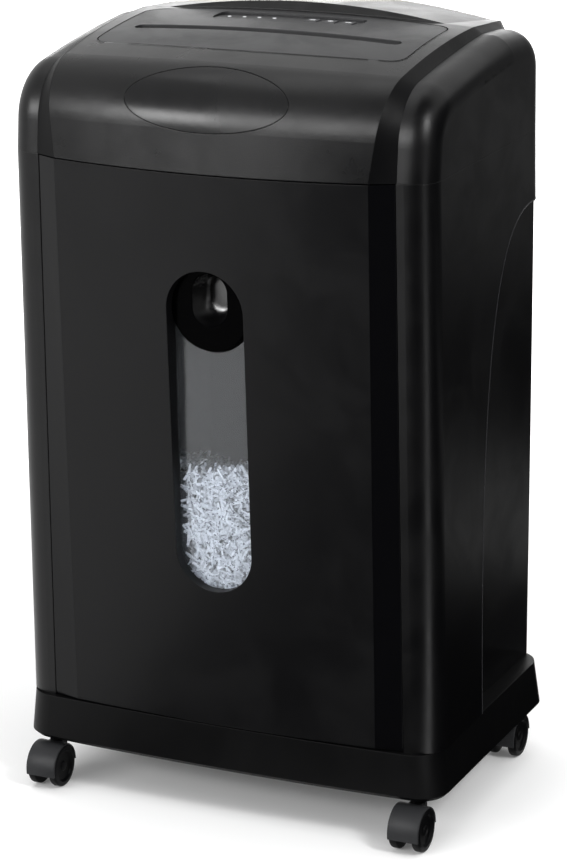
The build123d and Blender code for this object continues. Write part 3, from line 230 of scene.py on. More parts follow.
def soft_box(name, place, aim, width, height, radiance):
    """A rectangular lamp; radiance is how bright its face is, so its power follows from its size."""
    lamp_data = bpy.data.lights.new(name, "AREA")
    lamp_data.shape = "RECTANGLE"
    lamp_data.size = width
    lamp_data.size_y = height
    lamp_data.energy = radiance * math.pi * width * height
    facing = (Vector(aim) - Vector(place)).to_track_quat("-Z", "Y")
    lamp = add_object(name, lamp_data)
    lamp.matrix_world = Matrix.Translation(place) @ facing.to_matrix().to_4x4()


for row in LAMPS:
    soft_box(*row)
print("lamps:", [row[0] for row in LAMPS])

# %% [markdown]
# A black object on a white floor turns grey, because it mirrors the floor. Photographers put black cards just
# outside the picture, so that the parts that should stay deep black have something dark to mirror, and a
# strip of bright card where they want a line of light. Here black and grey cards lie on the floor along the
# right side, so that it fades from grey to black and back, and a black one in front of the right corner. Each
# side runs on into upright cards, and one hangs over the right side. A bright strip between them draws the
# line down the corner, and a large bright card widens the band of light on the brow. Cards are seen only in
# reflections and cast no shadow.

# %% Cards round the machine
CARD_LEVEL = 0.003
CARD_WALL = 1.80
CARD_ROOF = 2.10
SIDE_NEAR = 0.177
SIDE_FAR = 2.2
SIDE_START_NEAR = -0.14
SIDE_START_FAR = -0.75
# Where each card along the right side ends, and its radiance
SIDE_BANDS = ((0.50, 0.0), (0.80, 0.26), (1.70, 0.0), (3.40, 0.20))
SIDE_END, SIDE_LAST = SIDE_BANDS[-1]
# Corners of the other flat cards seen from above, then height and radiance
FLAT_CARDS = {
    "corner_card": (
        (
            (-0.17, -0.14), (-0.22, -0.40), (-0.22, -0.90), (-0.77, -2.3),
            (-0.4, -3.0), (2.0, -3.0), (2.0, -1.35), (0.17, -0.20),
        ),
        CARD_LEVEL, 0.0,
    ),
    "roof_card": (((0.0, -2.9), (1.6, -2.9), (1.6, 0.3), (0.0, 0.3)), CARD_ROOF, 0.0),
    "bright_card": (((0.24, -0.20), (1.5, -0.80), (1.5, -0.72), (0.24, -0.16)), CARD_LEVEL, 5.0),
}
# Start and end of each upright card seen from above, then its lower edge, upper edge and radiance
UPRIGHT_CARDS = {
    "grey_wall": ((SIDE_FAR, SIDE_END), (0.05, SIDE_END), CARD_LEVEL, CARD_WALL, SIDE_LAST),
    "side_wall": ((SIDE_FAR, SIDE_START_FAR), (SIDE_FAR, SIDE_END), CARD_LEVEL, CARD_WALL, 0.0),
    "corner_wall": ((-0.3, -2.9), (2.0, -1.35), CARD_LEVEL, CARD_ROOF, 0.0),
    "brow_card": ((-2.6, -2.35), (0.4, -2.35), 0.95, 1.95, 9.0),
}


def studio_card(name, corners, radiance):
    """A flat card that only reflections see, black where its radiance is 0."""
    finish, tree = new_finish(name)
    glow = add_node(tree, "ShaderNodeEmission", Strength=radiance)[0]
    add_node(tree, "ShaderNodeOutputMaterial", Surface=glow)
    card_shape = bmesh.new()
    card_shape.faces.new([card_shape.verts.new(corner) for corner in corners])
    card_mesh = mesh_from(card_shape, name)
    card_mesh.materials.append(finish)
    card = add_object(name, card_mesh)
    for rays in ("camera", "diffuse", "shadow", "transmission"):
        setattr(card, f"visible_{rays}", False)


start_near, start_far = SIDE_START_NEAR, SIDE_START_FAR
for number, (end, radiance) in enumerate(SIDE_BANDS):
    outline = ((SIDE_NEAR, start_near), (SIDE_FAR, start_far), (SIDE_FAR, end), (SIDE_NEAR, end))
    studio_card(f"side_{number}_card", [(x, y, CARD_LEVEL) for x, y in outline], radiance)
    start_near, start_far = end, end
for name, (outline, level, radiance) in FLAT_CARDS.items():
    studio_card(name, [(x, y, level) for x, y in outline], radiance)
for name, (start, end, low, high, radiance) in UPRIGHT_CARDS.items():
    studio_card(name, [(*start, low), (*end, low), (*end, high), (*start, high)], radiance)
print("cards:", len(SIDE_BANDS) + len(FLAT_CARDS) + len(UPRIGHT_CARDS))

# %% [markdown]
# Moulded plastic is never one flat colour. Three effects are shared by all the plastics, so each is a node
# group: the fine spark-eroded grain of the mould, the soft marks that hands and dust leave, and the small
# rounding that every moulded edge has, where the colour turns paler: partly wear, partly a painted highlight.

# %% Node groups for moulded plastic
FLOAT = "NodeSocketFloat"
VECTOR = "NodeSocketVector"
GRAIN_PER_METRE = 900.0
GRAIN_DEPTH = 0.00006
GRAIN_FINE = 0.00002
GRAIN_SMOOTH = 0.00001
MARKS_PER_METRE = 14.0
DUST_PER_METRE = 420.0
EDGE_RADIUS = 0.0008


def new_group(name, label, value, outputs):
    """An empty node group with one number as input, that input's socket, and the sockets of its end."""
    tree = bpy.data.node_groups.new(name, "ShaderNodeTree")
    tree.interface.new_socket(name=label, in_out="INPUT", socket_type=FLOAT).default_value = value
    for result, kind in outputs:
        tree.interface.new_socket(name=result, in_out="OUTPUT", socket_type=kind)
    return tree, tree.nodes.new("NodeGroupInput").outputs[0], tree.nodes.new("NodeGroupOutput").inputs


mould_grain, per_metre, ends = new_group(
    "mould_grain", "Grain per metre", GRAIN_PER_METRE, [("Height", FLOAT)]
)
feed(mould_grain, object_noise(mould_grain, per_metre, Detail=3.0, Roughness=0.6), ends["Height"])

hand_marks, per_metre, ends = new_group(
    "hand_marks", "Marks per metre", MARKS_PER_METRE, [("Smudge", FLOAT), ("Dust", FLOAT)]
)
cloud = object_noise(hand_marks, per_metre, Detail=5.0, Roughness=0.62, Distortion=0.6)
soft_cloud = ranged(hand_marks, cloud, From_Min=0.35, From_Max=0.7, interpolation_type="SMOOTHSTEP")
feed(hand_marks, soft_cloud, ends["Smudge"])
specks = object_noise(hand_marks, DUST_PER_METRE, Detail=2.0)
feed(hand_marks, ranged(hand_marks, specks, From_Min=0.64, From_Max=0.78), ends["Dust"])

soft_edge, radius, ends = new_group("soft_edge", "Radius", EDGE_RADIUS, [("Normal", VECTOR), ("Edge", FLOAT)])
rounded = add_node(soft_edge, "ShaderNodeBevel", samples=4, Radius=radius)[0]
true_face = add_node(soft_edge, "ShaderNodeNewGeometry")["Normal"]
agree = calculate(soft_edge, "DOT_PRODUCT", rounded, true_face, kind="ShaderNodeVectorMath")
feed(soft_edge, rounded, ends["Normal"])
feed(soft_edge, ranged(soft_edge, agree, From_Min=0.995, From_Max=0.9), ends["Edge"])
print("node groups:", [group.name for group in (mould_grain, hand_marks, soft_edge)])

# %% [markdown]
# A moulded finish brings the three groups together. The bin front is one moulding with two polished stripes
# beside its bowed middle, so its roughness also depends on how far out a place is.

# %% Finish for moulded plastic
DUST = 0.05
# How much paler edges are: partly wear, partly painted highlight
EDGE_WEAR_AND_SHEEN = 0.08
SMOOTHER = 0.05
ROUGHER = 0.06
PALE_TIMES = 3.0
PALE_PLUS = 0.02
STRIPE_INNER = 0.1310
STRIPE_BLUR = 0.0004
STRIPE_ROUGH = 0.13


def place_group(tree, group, value):
    """The results of a node group put into a material, with the value of its input."""
    made = tree.nodes.new("ShaderNodeGroup")
    made.node_tree = group
    made.inputs[0].default_value = value
    return made.outputs


def principled(tree, **settings):
    """Ends a tree with a Principled shader."""
    shader = add_node(tree, "ShaderNodeBsdfPrincipled", **settings)[0]
    add_node(tree, "ShaderNodeOutputMaterial", Surface=shader)


def mix_colours(tree, amount, low, high):
    """A colour that runs from low to high by a value socket; low and high are colours or sockets."""
    mixer = tree.nodes.new("ShaderNodeMix")
    mixer.data_type = "RGBA"
    ends = [socket for socket in mixer.inputs if socket.type == "RGBA"]
    for value, target in zip((amount, low, high), (mixer.inputs[0], *ends)):
        feed(tree, value, target)
    return mixer.outputs[2]


def polish_stripes(tree, rough):
    """A roughness socket that gives way to polish on the two stripes beside the bowed front."""
    across = add_node(tree, "ShaderNodeSeparateXYZ", Vector=object_place(tree))["X"]
    return ranged(
        tree, calculate(tree, "ABSOLUTE", across), From_Min=STRIPE_INNER - STRIPE_BLUR,
        From_Max=STRIPE_INNER + STRIPE_BLUR, To_Min=rough, To_Max=STRIPE_ROUGH,
    )


def moulded(name, colour, rough, gloss, grain=GRAIN_DEPTH, edge=EDGE_RADIUS, striped=False):
    """Moulded plastic: grain as bump, marks in the roughness, a rounded edge, dust and painted edge sheen in
    colour.
    """
    made, tree = new_finish(name)
    marks = place_group(tree, hand_marks, MARKS_PER_METRE)
    edges = place_group(tree, soft_edge, edge)
    rough_now = ranged(tree, marks["Smudge"], To_Min=rough - SMOOTHER, To_Max=rough + ROUGHER)
    if striped:
        rough_now = polish_stripes(tree, rough_now)
    # Edges turn paler in the colour: partly wear, partly a painted highlight along the rounding
    worn_and_sheen = calculate(tree, "MULTIPLY", edges["Edge"], EDGE_WEAR_AND_SHEEN)
    dust_wear_and_sheen = calculate(tree, "MULTIPLY_ADD", marks["Dust"], DUST, worn_and_sheen)
    pale = [min(1.0, c * PALE_TIMES + PALE_PLUS) for c in colour]
    tint = mix_colours(tree, dust_wear_and_sheen, (*colour, 1.0), (*pale, 1.0))
    pebbles = place_group(tree, mould_grain, GRAIN_PER_METRE)["Height"]
    bump = add_node(tree, "ShaderNodeBump", Distance=grain, Height=pebbles, Normal=edges["Normal"])[0]
    principled(tree, Base_Color=tint, Roughness=rough_now, Specular_IOR_Level=gloss, Normal=bump)
    return made


# %% [markdown]
# The metal pieces sit inside the head and are seen only through the slot and with the bin out. Their finish
# is a turned or ground steel, with fine lines that run one way.

# %% Finish for ground metal
LINE_ROUGHNESS = 0.12
LINE_DARK = 0.7
LINE_DEPTH = 0.00005


def ground_metal(name, colour, rough, stretch):
    """Bare metal with ground lines: stretched noise drives roughness, colour and a small bump."""
    made, tree = new_finish(name)
    stretched = add_node(tree, "ShaderNodeMapping", Vector=object_place(tree), Scale=stretch)[0]
    lines = add_node(tree, "ShaderNodeTexNoise", Vector=stretched, Scale=1.0, Detail=4.0)[0]
    rough_now = ranged(tree, lines, To_Min=rough - LINE_ROUGHNESS, To_Max=rough + LINE_ROUGHNESS)
    dull = [c * LINE_DARK for c in colour]
    tint = mix_colours(tree, lines, (*dull, 1.0), (*colour, 1.0))
    bump = add_node(tree, "ShaderNodeBump", Strength=0.4, Distance=LINE_DEPTH, Height=lines)[0]
    principled(tree, Base_Color=tint, Roughness=rough_now, Metallic=1.0, Normal=bump)
    return made


# %% [markdown]
# All the finishes stand in two tables, where they can be compared. The black plastics differ mostly in how
# rough and how glossy they are.

# %% Finishes by name
HOUSING = (0.0016, 0.0016, 0.0019)
# Colour, roughness and gloss of each plastic, then its grain, edge radius and stripes where they differ
PLASTICS = {
    "housing_black": (HOUSING, 0.34, 0.24),
    "front_black": ((0.0020, 0.0020, 0.0024), 0.40, 0.16, GRAIN_DEPTH, EDGE_RADIUS, True),
    "base_black": ((0.0018, 0.0018, 0.0020), 0.46, 0.09),
    "panel_black": ((0.0150, 0.0152, 0.0165), 0.46, 0.32),
    "console_black": ((0.0080, 0.0080, 0.0090), 0.42, 0.28),
    "badge_gloss": ((0.0022, 0.0022, 0.0026), 0.26, 0.24, GRAIN_FINE),
    "cup_gloss": ((0.0004, 0.0004, 0.0005), 0.16, 0.012, GRAIN_SMOOTH),
    "tray_plastic": ((0.0110, 0.0110, 0.0120), 0.50, 0.30),
    "button_plastic": ((0.0300, 0.0305, 0.0330), 0.45, 0.35, GRAIN_DEPTH, 0.0004),
    "light_lens": ((0.8000, 0.8100, 0.8400), 0.25, 0.50, GRAIN_SMOOTH, 0.0003),
    "switch_plastic": ((0.0080, 0.0080, 0.0090), 0.28, 0.45, GRAIN_FINE),
    "gland_rubber": ((0.0070, 0.0070, 0.0075), 0.65, 0.20),
    "board_laminate": ((0.0150, 0.0900, 0.0350), 0.40, 0.40),
    "comb_plastic": ((0.0180, 0.0180, 0.0195), 0.50, 0.30),
    "gear_nylon": ((0.6200, 0.5900, 0.5000), 0.45, 0.40),
    "motor_case": ((0.0900, 0.0900, 0.0950), 0.45, 0.40),
    "caster_plastic": ((0.0200, 0.0205, 0.0220), 0.50, 0.16),
    "wheel_black": ((0.0030, 0.0030, 0.0034), 0.42, 0.06, GRAIN_DEPTH, 0.0005),
    "head_black": (HOUSING, 0.32, 0.26),
    "stripe_black": (HOUSING, 0.42, 0.09),
    # Paler than the housing: painted highlight along the edges of the side fields
    "bead_black": ((0.0200, 0.0200, 0.0220), 0.30, 0.60),
    # Near black: painted shade for the narrow gap round the top panel
    "gap_black": ((0.0005, 0.0005, 0.0006), 0.70, 0.02),
    "scoop_gloss": ((0.0020, 0.0020, 0.0024), 0.25, 1.00, GRAIN_SMOOTH),
    # Dark: painted shade in place of the cross recess in the screw heads
    "screw_cross": ((0.0040, 0.0040, 0.0045), 0.60, 0.10),
}
# Colour, roughness and lines per metre along X, Y and Z of each metal
METALS = {
    "plate_steel": ((0.52, 0.52, 0.54), 0.38, (40.0, 900.0, 60.0)),
    "cutter_steel": ((0.42, 0.42, 0.44), 0.34, (1500.0, 90.0, 90.0)),
    "gear_steel": ((0.46, 0.46, 0.48), 0.42, (900.0, 200.0, 200.0)),
    "bush_bronze": ((0.55, 0.36, 0.14), 0.40, (900.0, 120.0, 120.0)),
    "stem_steel": ((0.50, 0.50, 0.52), 0.40, (120.0, 120.0, 900.0)),
    "screw_zinc": ((0.20, 0.20, 0.21), 0.40, (700.0, 700.0, 700.0)),
}

finishes = {}
for name, row in PLASTICS.items():
    finishes[name] = moulded(name, *row)
for name, row in METALS.items():
    finishes[name] = ground_metal(name, *row)
print("finishes:", len(finishes))

# %% [markdown]
# The window pane is clear plastic in front of the dark bin. Above the shreds it looks grey because it mirrors
# the room and is slightly milky from fine scratches, so a fiftieth of its light is scattered instead of
# passed on.

# %% Window pane, and a finish for every CAD piece
PANE_TINT = (0.88, 0.92, 0.97, 1.0)
PANE_MARKS_PER_METRE = 22.0
PANE_ROUGHEST = 0.02

finishes["window_pane"], tree = new_finish("window_pane")
smudge = place_group(tree, hand_marks, PANE_MARKS_PER_METRE)["Smudge"]
pane_rough = ranged(tree, smudge, To_Max=PANE_ROUGHEST)
principled(tree, Base_Color=PANE_TINT, Transmission_Weight=0.98, IOR=1.38, Roughness=pane_rough)

finish_of = {row["node"]: row["material_slot"] for row in frame["record"]["subparts"]}
finish_of["head_cover"] = "head_black"
for name, node in nodes.items():
    if finish_of[name] in finishes:
        node.data.materials.clear()
        node.data.materials.append(finishes[finish_of[name]])
print("CAD pieces with a finish:", sum(slot in finishes for slot in finish_of.values()))

# %% [markdown]
# Paper is white with a blue tinge. A value stored on each strip varies its tone at random and adds painted
# shade: strips that lie deeper behind the pane are darker. Small patches of print show on the lighter strips.
# The imported heap under the loose strips has the same paper, but its colour is darker, painted shade,
# because little light gets between the strips.

# %% Paper finishes
PRINT_PER_METRE = 520.0
PRINTED_FROM = 0.62
# The dark end of the paper: for random tone, and for painted shade on strips deep behind the pane
PAPER_DARK_AND_SHADED = (0.15, 0.16, 0.19, 1.0)
PAPER_WHITE = (0.95, 0.96, 0.99, 1.0)
PAPER_INK = (0.16, 0.17, 0.20, 1.0)
PACKED_PER_METRE = 300.0
# The heap's paper is dark: painted shade, because little light gets between packed strips
PACKED_DARK = (0.02, 0.022, 0.025, 1.0)
PACKED_LIGHT = (0.16, 0.165, 0.18, 1.0)

finishes["paper_white"], tree = new_finish("paper_white")
# The stored value mixes random tone with painted shade on strips deep behind the pane
tone_and_shade = add_node(tree, "ShaderNodeAttribute", attribute_name="tone_and_shade")["Fac"]
inked = ranged(tree, object_noise(tree, PRINT_PER_METRE, Detail=1.0), From_Min=0.62, From_Max=0.66)
ink = calculate(tree, "MULTIPLY", inked, calculate(tree, "GREATER_THAN", tone_and_shade, PRINTED_FROM))
plain_white = mix_colours(tree, tone_and_shade, PAPER_DARK_AND_SHADED, PAPER_WHITE)
tint = mix_colours(tree, ink, plain_white, PAPER_INK)
principled(tree, Base_Color=tint, Roughness=0.85, Specular_IOR_Level=0.2)

# Painted shade: the heap's paper is darkened, with noise that varies its tone
finishes["paper_packed"], tree = new_finish("paper_packed")
tint = mix_colours(tree, object_noise(tree, PACKED_PER_METRE, Detail=3.0), PACKED_DARK, PACKED_LIGHT)
principled(tree, Base_Color=tint, Roughness=0.9)
print("finishes with paper:", len(finishes))

# %% [markdown]
# Cross-cut shreds are strips about 2 mm wide and 7 to 18 mm long, curled by the cutters. A dozen strips are
# modelled, bent by different amounts, and copied many times: against the pane, where each one shows, and over
# the top of the heap, which shows when the bin is out.

# %% One strip of paper
STRIP_WIDTH = 0.0021
STRIP_THICK = 0.00022
STRIP_KINDS = 12
STRIP_CUTS = 4
STRIP_LENGTHS = (0.007, 0.018)
STRIP_CURLS = (-0.35, 0.5)
STRIP_TWISTS = (-0.9, 0.9)
SEED = 41
shake = random.Random(SEED)


def paper_strip(length, curl, twist):
    """A thin strip along X in five lengths, bent over and slightly twisted; tone and painted shade come
    later.
    """
    strip = bmesh.new()
    bmesh.ops.create_cube(strip, size=1.0)
    bmesh.ops.scale(strip, verts=strip.verts, vec=(length, STRIP_WIDTH, STRIP_THICK))
    along = [e for e in strip.edges if abs(e.verts[0].co.x - e.verts[1].co.x) > length / 2]
    bmesh.ops.subdivide_edges(strip, edges=along, cuts=STRIP_CUTS)
    for corner in strip.verts:
        share = corner.co.x / length
        corner.co.z += curl * length * (0.25 - share * share)
        corner.co = Matrix.Rotation(twist * share, 3, "X") @ corner.co
    mesh = mesh_from(strip, "strip_kind")
    mesh.attributes.new("tone_and_shade", "FLOAT", "POINT")
    return mesh


strip_kinds = [
    paper_strip(shake.uniform(*STRIP_LENGTHS), shake.uniform(*STRIP_CURLS), shake.uniform(*STRIP_TWISTS))
    for _ in range(STRIP_KINDS)
]
print("strip kinds:", STRIP_KINDS)

# %% The loose shreds
shred_low, shred_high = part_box("shredded_paper")
pane_low, pane_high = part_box("bin_window")
WINDOW_STRIPS = 1300
WINDOW_HALF = 0.0335
WINDOW_CLEAR = 0.005
PANE_GAP = 0.0006
LOOSE_DEPTH = 0.010
WALL_GAP = 0.001
WINDOW_FILL = 0.287
WINDOW_FILL_CLIMB = 0.15
# How much darker deeper strips are: painted shade
SHADE_BY_DEPTH = 0.8
TONE_BY_CHANCE = 0.2
# Inside of the tub, which keeps every strip in
PILE_HALF = 0.1335
PILE_REAR = 0.1085
PILE_CORNER = 0.0215
HEAP_STRIPS = 1900
HEAP_AT_PANE = 0.287
HEAP_FALL = 0.32
HEAP_LEVELS = (-0.010, 0.004)
HEAP_TONES = (0.5, 1.0)
# How far strips lean, in radians: the heap's own slope, and the spread of leans and turns
HEAP_LEAN = -0.3
LEAN_SPREAD = 0.35
TURN_SPREAD = 0.25

loose = bmesh.new()


def keep_in_tub(point, front, margin):
    """The point itself, or the nearest place inside the tub's walls and rounded corners."""
    core = Vector((
        min(max(point.x, PILE_CORNER - PILE_HALF), PILE_HALF - PILE_CORNER),
        min(max(point.y, front + PILE_CORNER), PILE_REAR - PILE_CORNER),
        point.z,
    ))
    out = point - core
    reach = PILE_CORNER - margin
    return core + out * (reach / out.length) if out.length > reach else point


def lay_strip(place, tilt, front_limit, tone_and_shade):
    """Copies one strip to a place, pushes it back behind front_limit and keeps it inside the tub's walls."""
    copy = shake.choice(strip_kinds).copy()
    copy.transform(Matrix.Translation(place) @ Euler(tilt, "XYZ").to_matrix().to_4x4())
    push = [0.0, 0.0, 0.0]
    for axis, (least, most) in enumerate(((-PILE_HALF, PILE_HALF), (front_limit, PILE_REAR))):
        reach = [corner.co[axis] for corner in copy.vertices]
        push[axis] = max(0.0, least + WALL_GAP - min(reach)) - max(0.0, max(reach) - most + WALL_GAP)
    copy.transform(Matrix.Translation(push))
    for corner in copy.vertices:
        corner.co = keep_in_tub(corner.co, front_limit, 0.0)
    for item in copy.attributes["tone_and_shade"].data:
        item.value = tone_and_shade
    loose.from_mesh(copy)
    bpy.data.meshes.remove(copy)


def heap_level(y):
    """How high the heap stands: it leans on the window and falls away to the rear."""
    return HEAP_AT_PANE - HEAP_FALL * (y - shred_low.y)


def place_piece(mesh, body, finish, replaces=None):
    """An object that rides on a body, with a named finish, and may take the place of a CAD node."""
    mesh.materials.append(finishes[finish])
    piece = add_object(mesh.name, mesh)
    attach(piece, body)
    if replaces:
        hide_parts(replaces)
    return piece


window_reach = WINDOW_HALF - WINDOW_CLEAR
window_back = pane_high.y + PANE_GAP
for _ in range(WINDOW_STRIPS):
    across = shake.uniform(-window_reach, window_reach)
    depth = shake.uniform(0.0, 1.0)
    level = shake.uniform(pane_low.z, WINDOW_FILL + WINDOW_FILL_CLIMB * across)
    place = Vector((across, window_back + depth * LOOSE_DEPTH, level))
    lean = math.pi / 2 + shake.gauss(0.0, LEAN_SPREAD)
    tilt = (lean, shake.uniform(0.0, math.tau), shake.gauss(0.0, TURN_SPREAD))
    # Deeper strips get a darker tone, which is painted shade, plus a little random tone
    tone_and_shade = (1.0 - depth) * SHADE_BY_DEPTH + shake.uniform(0.0, TONE_BY_CHANCE)
    lay_strip(place, tilt, window_back - WALL_GAP, tone_and_shade)
for _ in range(HEAP_STRIPS):
    depth = shake.uniform(shred_low.y, PILE_REAR)
    across = shake.uniform(-PILE_HALF, PILE_HALF)
    place = Vector((across, depth, heap_level(depth) + shake.uniform(*HEAP_LEVELS)))
    lean = shake.gauss(HEAP_LEAN, LEAN_SPREAD)
    tilt = (lean, shake.gauss(0.0, LEAN_SPREAD), shake.uniform(0.0, math.tau))
    lay_strip(place, tilt, shred_low.y, shake.uniform(*HEAP_TONES))
shreds = place_piece(mesh_from(loose, "paper_shreds"), "bin", "paper_white")
print("shreds:", len(shreds.data.polygons), "faces")

# %% [markdown]
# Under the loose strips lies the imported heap. It is a lumpy block that fills the tub and slopes down to the
# rear.

# %% Packed heap
MOUND_INSET = 0.0025
MOUND_CUTS = 40
LUMP_DEPTH = 0.006
LUMPS_PER_METRE = 90.0

mound_shape = bmesh.new()
bmesh.ops.create_cube(mound_shape, size=1.0)
mound_size = shred_high - shred_low - Vector.Fill(3, 2 * MOUND_INSET)
mound_middle = (shred_high + shred_low) / 2
bmesh.ops.subdivide_edges(mound_shape, edges=mound_shape.edges, cuts=MOUND_CUTS, use_grid_fill=True)
bmesh.ops.scale(mound_shape, verts=mound_shape.verts, vec=mound_size)
bmesh.ops.translate(mound_shape, verts=mound_shape.verts, vec=mound_middle)
bmesh.ops.recalc_face_normals(mound_shape, faces=mound_shape.faces)
mound_shape.normal_update()
for corner in mound_shape.verts:
    corner.co -= corner.normal * LUMP_DEPTH * (0.5 + 0.5 * noise.noise(corner.co * LUMPS_PER_METRE))
    corner.co = keep_in_tub(corner.co, shred_low.y, MOUND_INSET)
    share = (corner.co.z - shred_low.z) / (shred_high.z - shred_low.z)
    corner.co.z += share * (heap_level(corner.co.y) - shred_high.z)
mound = place_piece(
    mesh_from(mound_shape, "paper_mound"), "bin", "paper_packed", replaces="shredded_paper"
)
print("packed heap:", len(mound.data.polygons), "faces")

# %% [markdown]
# The other new pieces start from a cross-section, an outline or faces of a CAD node. They share these
# helpers: one spins a row of points round an axis, one gives faces a thickness, and one takes a copy of a CAD
# node to work on.

# %% Helpers for new mesh pieces
MERGE = 0.000001
SHARP_ANGLE = math.radians(34.0)
ALONG_X = (1.0, 0.0, 0.0)
ALONG_Y = (0.0, 1.0, 0.0)
FRONT = Vector((0.0, -1.0, 0.0))
UP = Vector((0.0, 0.0, 1.0))


def finish_piece(shape, name, body, slot, finish=None, replaces=None):
    """Turns a bmesh into a smooth-shaded piece; its finish has the slot's name unless another is given."""
    bmesh.ops.remove_doubles(shape, verts=shape.verts, dist=MERGE)
    bmesh.ops.recalc_face_normals(shape, faces=shape.faces)
    mesh = mesh_from(shape, name)
    mesh.shade_smooth()
    mesh.set_sharp_from_angle(angle=SHARP_ANGLE)
    return place_piece(mesh, body, finish or slot, replaces)


def face_towards(piece, direction):
    """Turns the faces of an open surface over if they look away from a direction."""
    if sum(face.normal.dot(direction) for face in piece.data.polygons) < 0.0:
        piece.data.flip_normals()


def spin_section(shape, points, middle, axis, sweep, steps, closed=False):
    """Spins a row of points round an axis; a closed row also joins its last point to its first."""
    corners = [shape.verts.new(point) for point in points]
    edges = [shape.edges.new(pair) for pair in zip(corners, corners[1:])]
    if closed:
        edges.append(shape.edges.new((corners[-1], corners[0])))
    bmesh.ops.spin(
        shape, geom=corners + edges, cent=middle, axis=axis, angle=sweep, steps=steps,
        use_merge=sweep == math.tau,
    )


def new_corners(made):
    """The corners among what an extrusion made."""
    return [item for item in made["geom"] if isinstance(item, bmesh.types.BMVert)]


def thicken(shape, faces, shift):
    """Gives faces a thickness by extruding them along a shift."""
    made = bmesh.ops.extrude_face_region(shape, geom=faces)
    bmesh.ops.translate(shape, verts=new_corners(made), vec=shift)


def cad_copy(name):
    """A copy of a CAD node to work on, in its place and with its faces joined."""
    shape = bmesh.new()
    shape.from_mesh(nodes[name].data)
    bmesh.ops.transform(shape, matrix=nodes[name].matrix_world, verts=shape.verts)
    bmesh.ops.remove_doubles(shape, verts=shape.verts, dist=MERGE)
    shape.normal_update()
    return shape


# %% [markdown]
# A twin-wheel caster is a moulded fender over two wheels on one axle. In CAD the wheels are plain discs and
# the fender a plain arch. Here each wheel is drawn as half of its cross-section, with a rounded tread, a sunk
# web and a hub, and spun round the axle. Its sizes come from the CAD node's box, so it lies exactly where
# that node does.

# %% Caster wheels
CASTER_PLACES = ("front_left", "front_right", "rear_left", "rear_right")
WHEEL_WIDTH = 0.0066
WHEEL_STEPS = 44
AXLE_RADIUS = 0.0025
AXLE_STEPS = 22
# Each row is a share of the wheel's radius and of its width, from the hub's middle to the inner face
WHEEL_SECTION = (
    (0.00, 0.93), (0.17, 0.93), (0.22, 0.88), (0.25, 0.74), (0.60, 0.70), (0.68, 0.74), (0.73, 0.93),
    (0.77, 1.00), (0.90, 1.00), (0.96, 0.96), (0.99, 0.88), (1.00, 0.78), (1.00, 0.16), (0.98, 0.05),
    (0.94, 0.00), (0.00, 0.00),
)


def round_axle(axle, section):
    """Points behind an axle, from a section of places along it and distances from it."""
    return [(x, axle.y + radius, axle.z) for x, radius in section]


axles = {}
for place in CASTER_PLACES:
    low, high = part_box(f"{place}_caster_wheels")
    axle = axles[place] = (low + high) / 2
    radius = (high.z - low.z) / 2
    wheels = bmesh.new()
    for side, outer in ((-1.0, low.x), (1.0, high.x)):
        inner = outer - side * WHEEL_WIDTH
        section = [(inner + side * share * WHEEL_WIDTH, out * radius) for out, share in WHEEL_SECTION]
        spin_section(wheels, round_axle(axle, section), axle, ALONG_X, math.tau, WHEEL_STEPS)
    shaft = [(low.x + WHEEL_WIDTH, AXLE_RADIUS), (high.x - WHEEL_WIDTH, AXLE_RADIUS)]
    spin_section(wheels, round_axle(axle, shaft), axle, ALONG_X, math.tau, AXLE_STEPS)
    finish_piece(
        wheels, f"{place}_twin_wheels", f"{place}_wheels", "wheel_black", replaces=f"{place}_caster_wheels"
    )
print("wheels spun for", CASTER_PLACES)

# %% [markdown]
# The fender is a rounded channel spun round the same axle, from the rear at axle height, over the top, to a
# little under the axle at the front. A web between the wheels carries the axle and the socket of the stem.

# %% Caster fenders
HOOD_SWEEP = math.radians(192.0)
HOOD_STEPS = 30
HOOD_THICK = 0.0015
HOOD_EDGE = 0.0009
HOOD_CORNER = 0.3
WEB_HALF = 0.0056
# The web from the side: places behind the axle and above it
WEB_OUTLINE = (
    (0.0, 0.0174), (-0.009, 0.0144), (-0.0145, 0.008), (-0.0165, 0.0), (-0.011, -0.0048), (0.0, -0.008),
    (0.012, -0.008), (0.018, -0.002), (0.018, 0.0174),
)


def fender(shape, low, high, axle):
    """The arched channel; its section is a strip with rounded corners at the outside."""
    out = high.y - axle.y
    corner = HOOD_EDGE * HOOD_CORNER
    half = [
        (high.x - HOOD_EDGE, out), (high.x - corner, out - corner), (high.x, out - HOOD_EDGE),
        (high.x, out - HOOD_THICK),
    ]
    section = half + [(low.x + high.x - x, radius) for x, radius in reversed(half)]
    spin_section(shape, round_axle(axle, section), axle, ALONG_X, HOOD_SWEEP, HOOD_STEPS, closed=True)
    rims = [e for e in shape.edges if e.is_boundary]
    bmesh.ops.holes_fill(shape, edges=rims, sides=len(section))


def web(shape, axle):
    """The plate between the wheels, drawn from the side and extruded across."""
    corners = [shape.verts.new((axle.x - WEB_HALF, axle.y + y, axle.z + z)) for y, z in WEB_OUTLINE]
    thicken(shape, [shape.faces.new(corners)], (2 * WEB_HALF, 0.0, 0.0))


for place, axle in axles.items():
    low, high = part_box(f"{place}_caster_hood")
    hood = bmesh.new()
    fender(hood, low, high, axle)
    web(hood, axle)
    finish_piece(
        hood, f"{place}_fender", f"{place}_caster", "caster_plastic", replaces=f"{place}_caster_hood"
    )
print("fenders:", len(axles))

# %% [markdown]
# The stripes at the two ends of the brow are duller than the rest of the head. Each is a thin inlay: the
# head's own faces beyond the slanting edge of the brow are copied and lifted by a tenth of a millimetre.

# %% Brow stripes
INLAY_LIFT = 0.0001
BROW_FLARE = 0.136
FACES_OUT = 0.5
FACES_SIDEWAYS = 0.9
head_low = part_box("head_cover")[0]


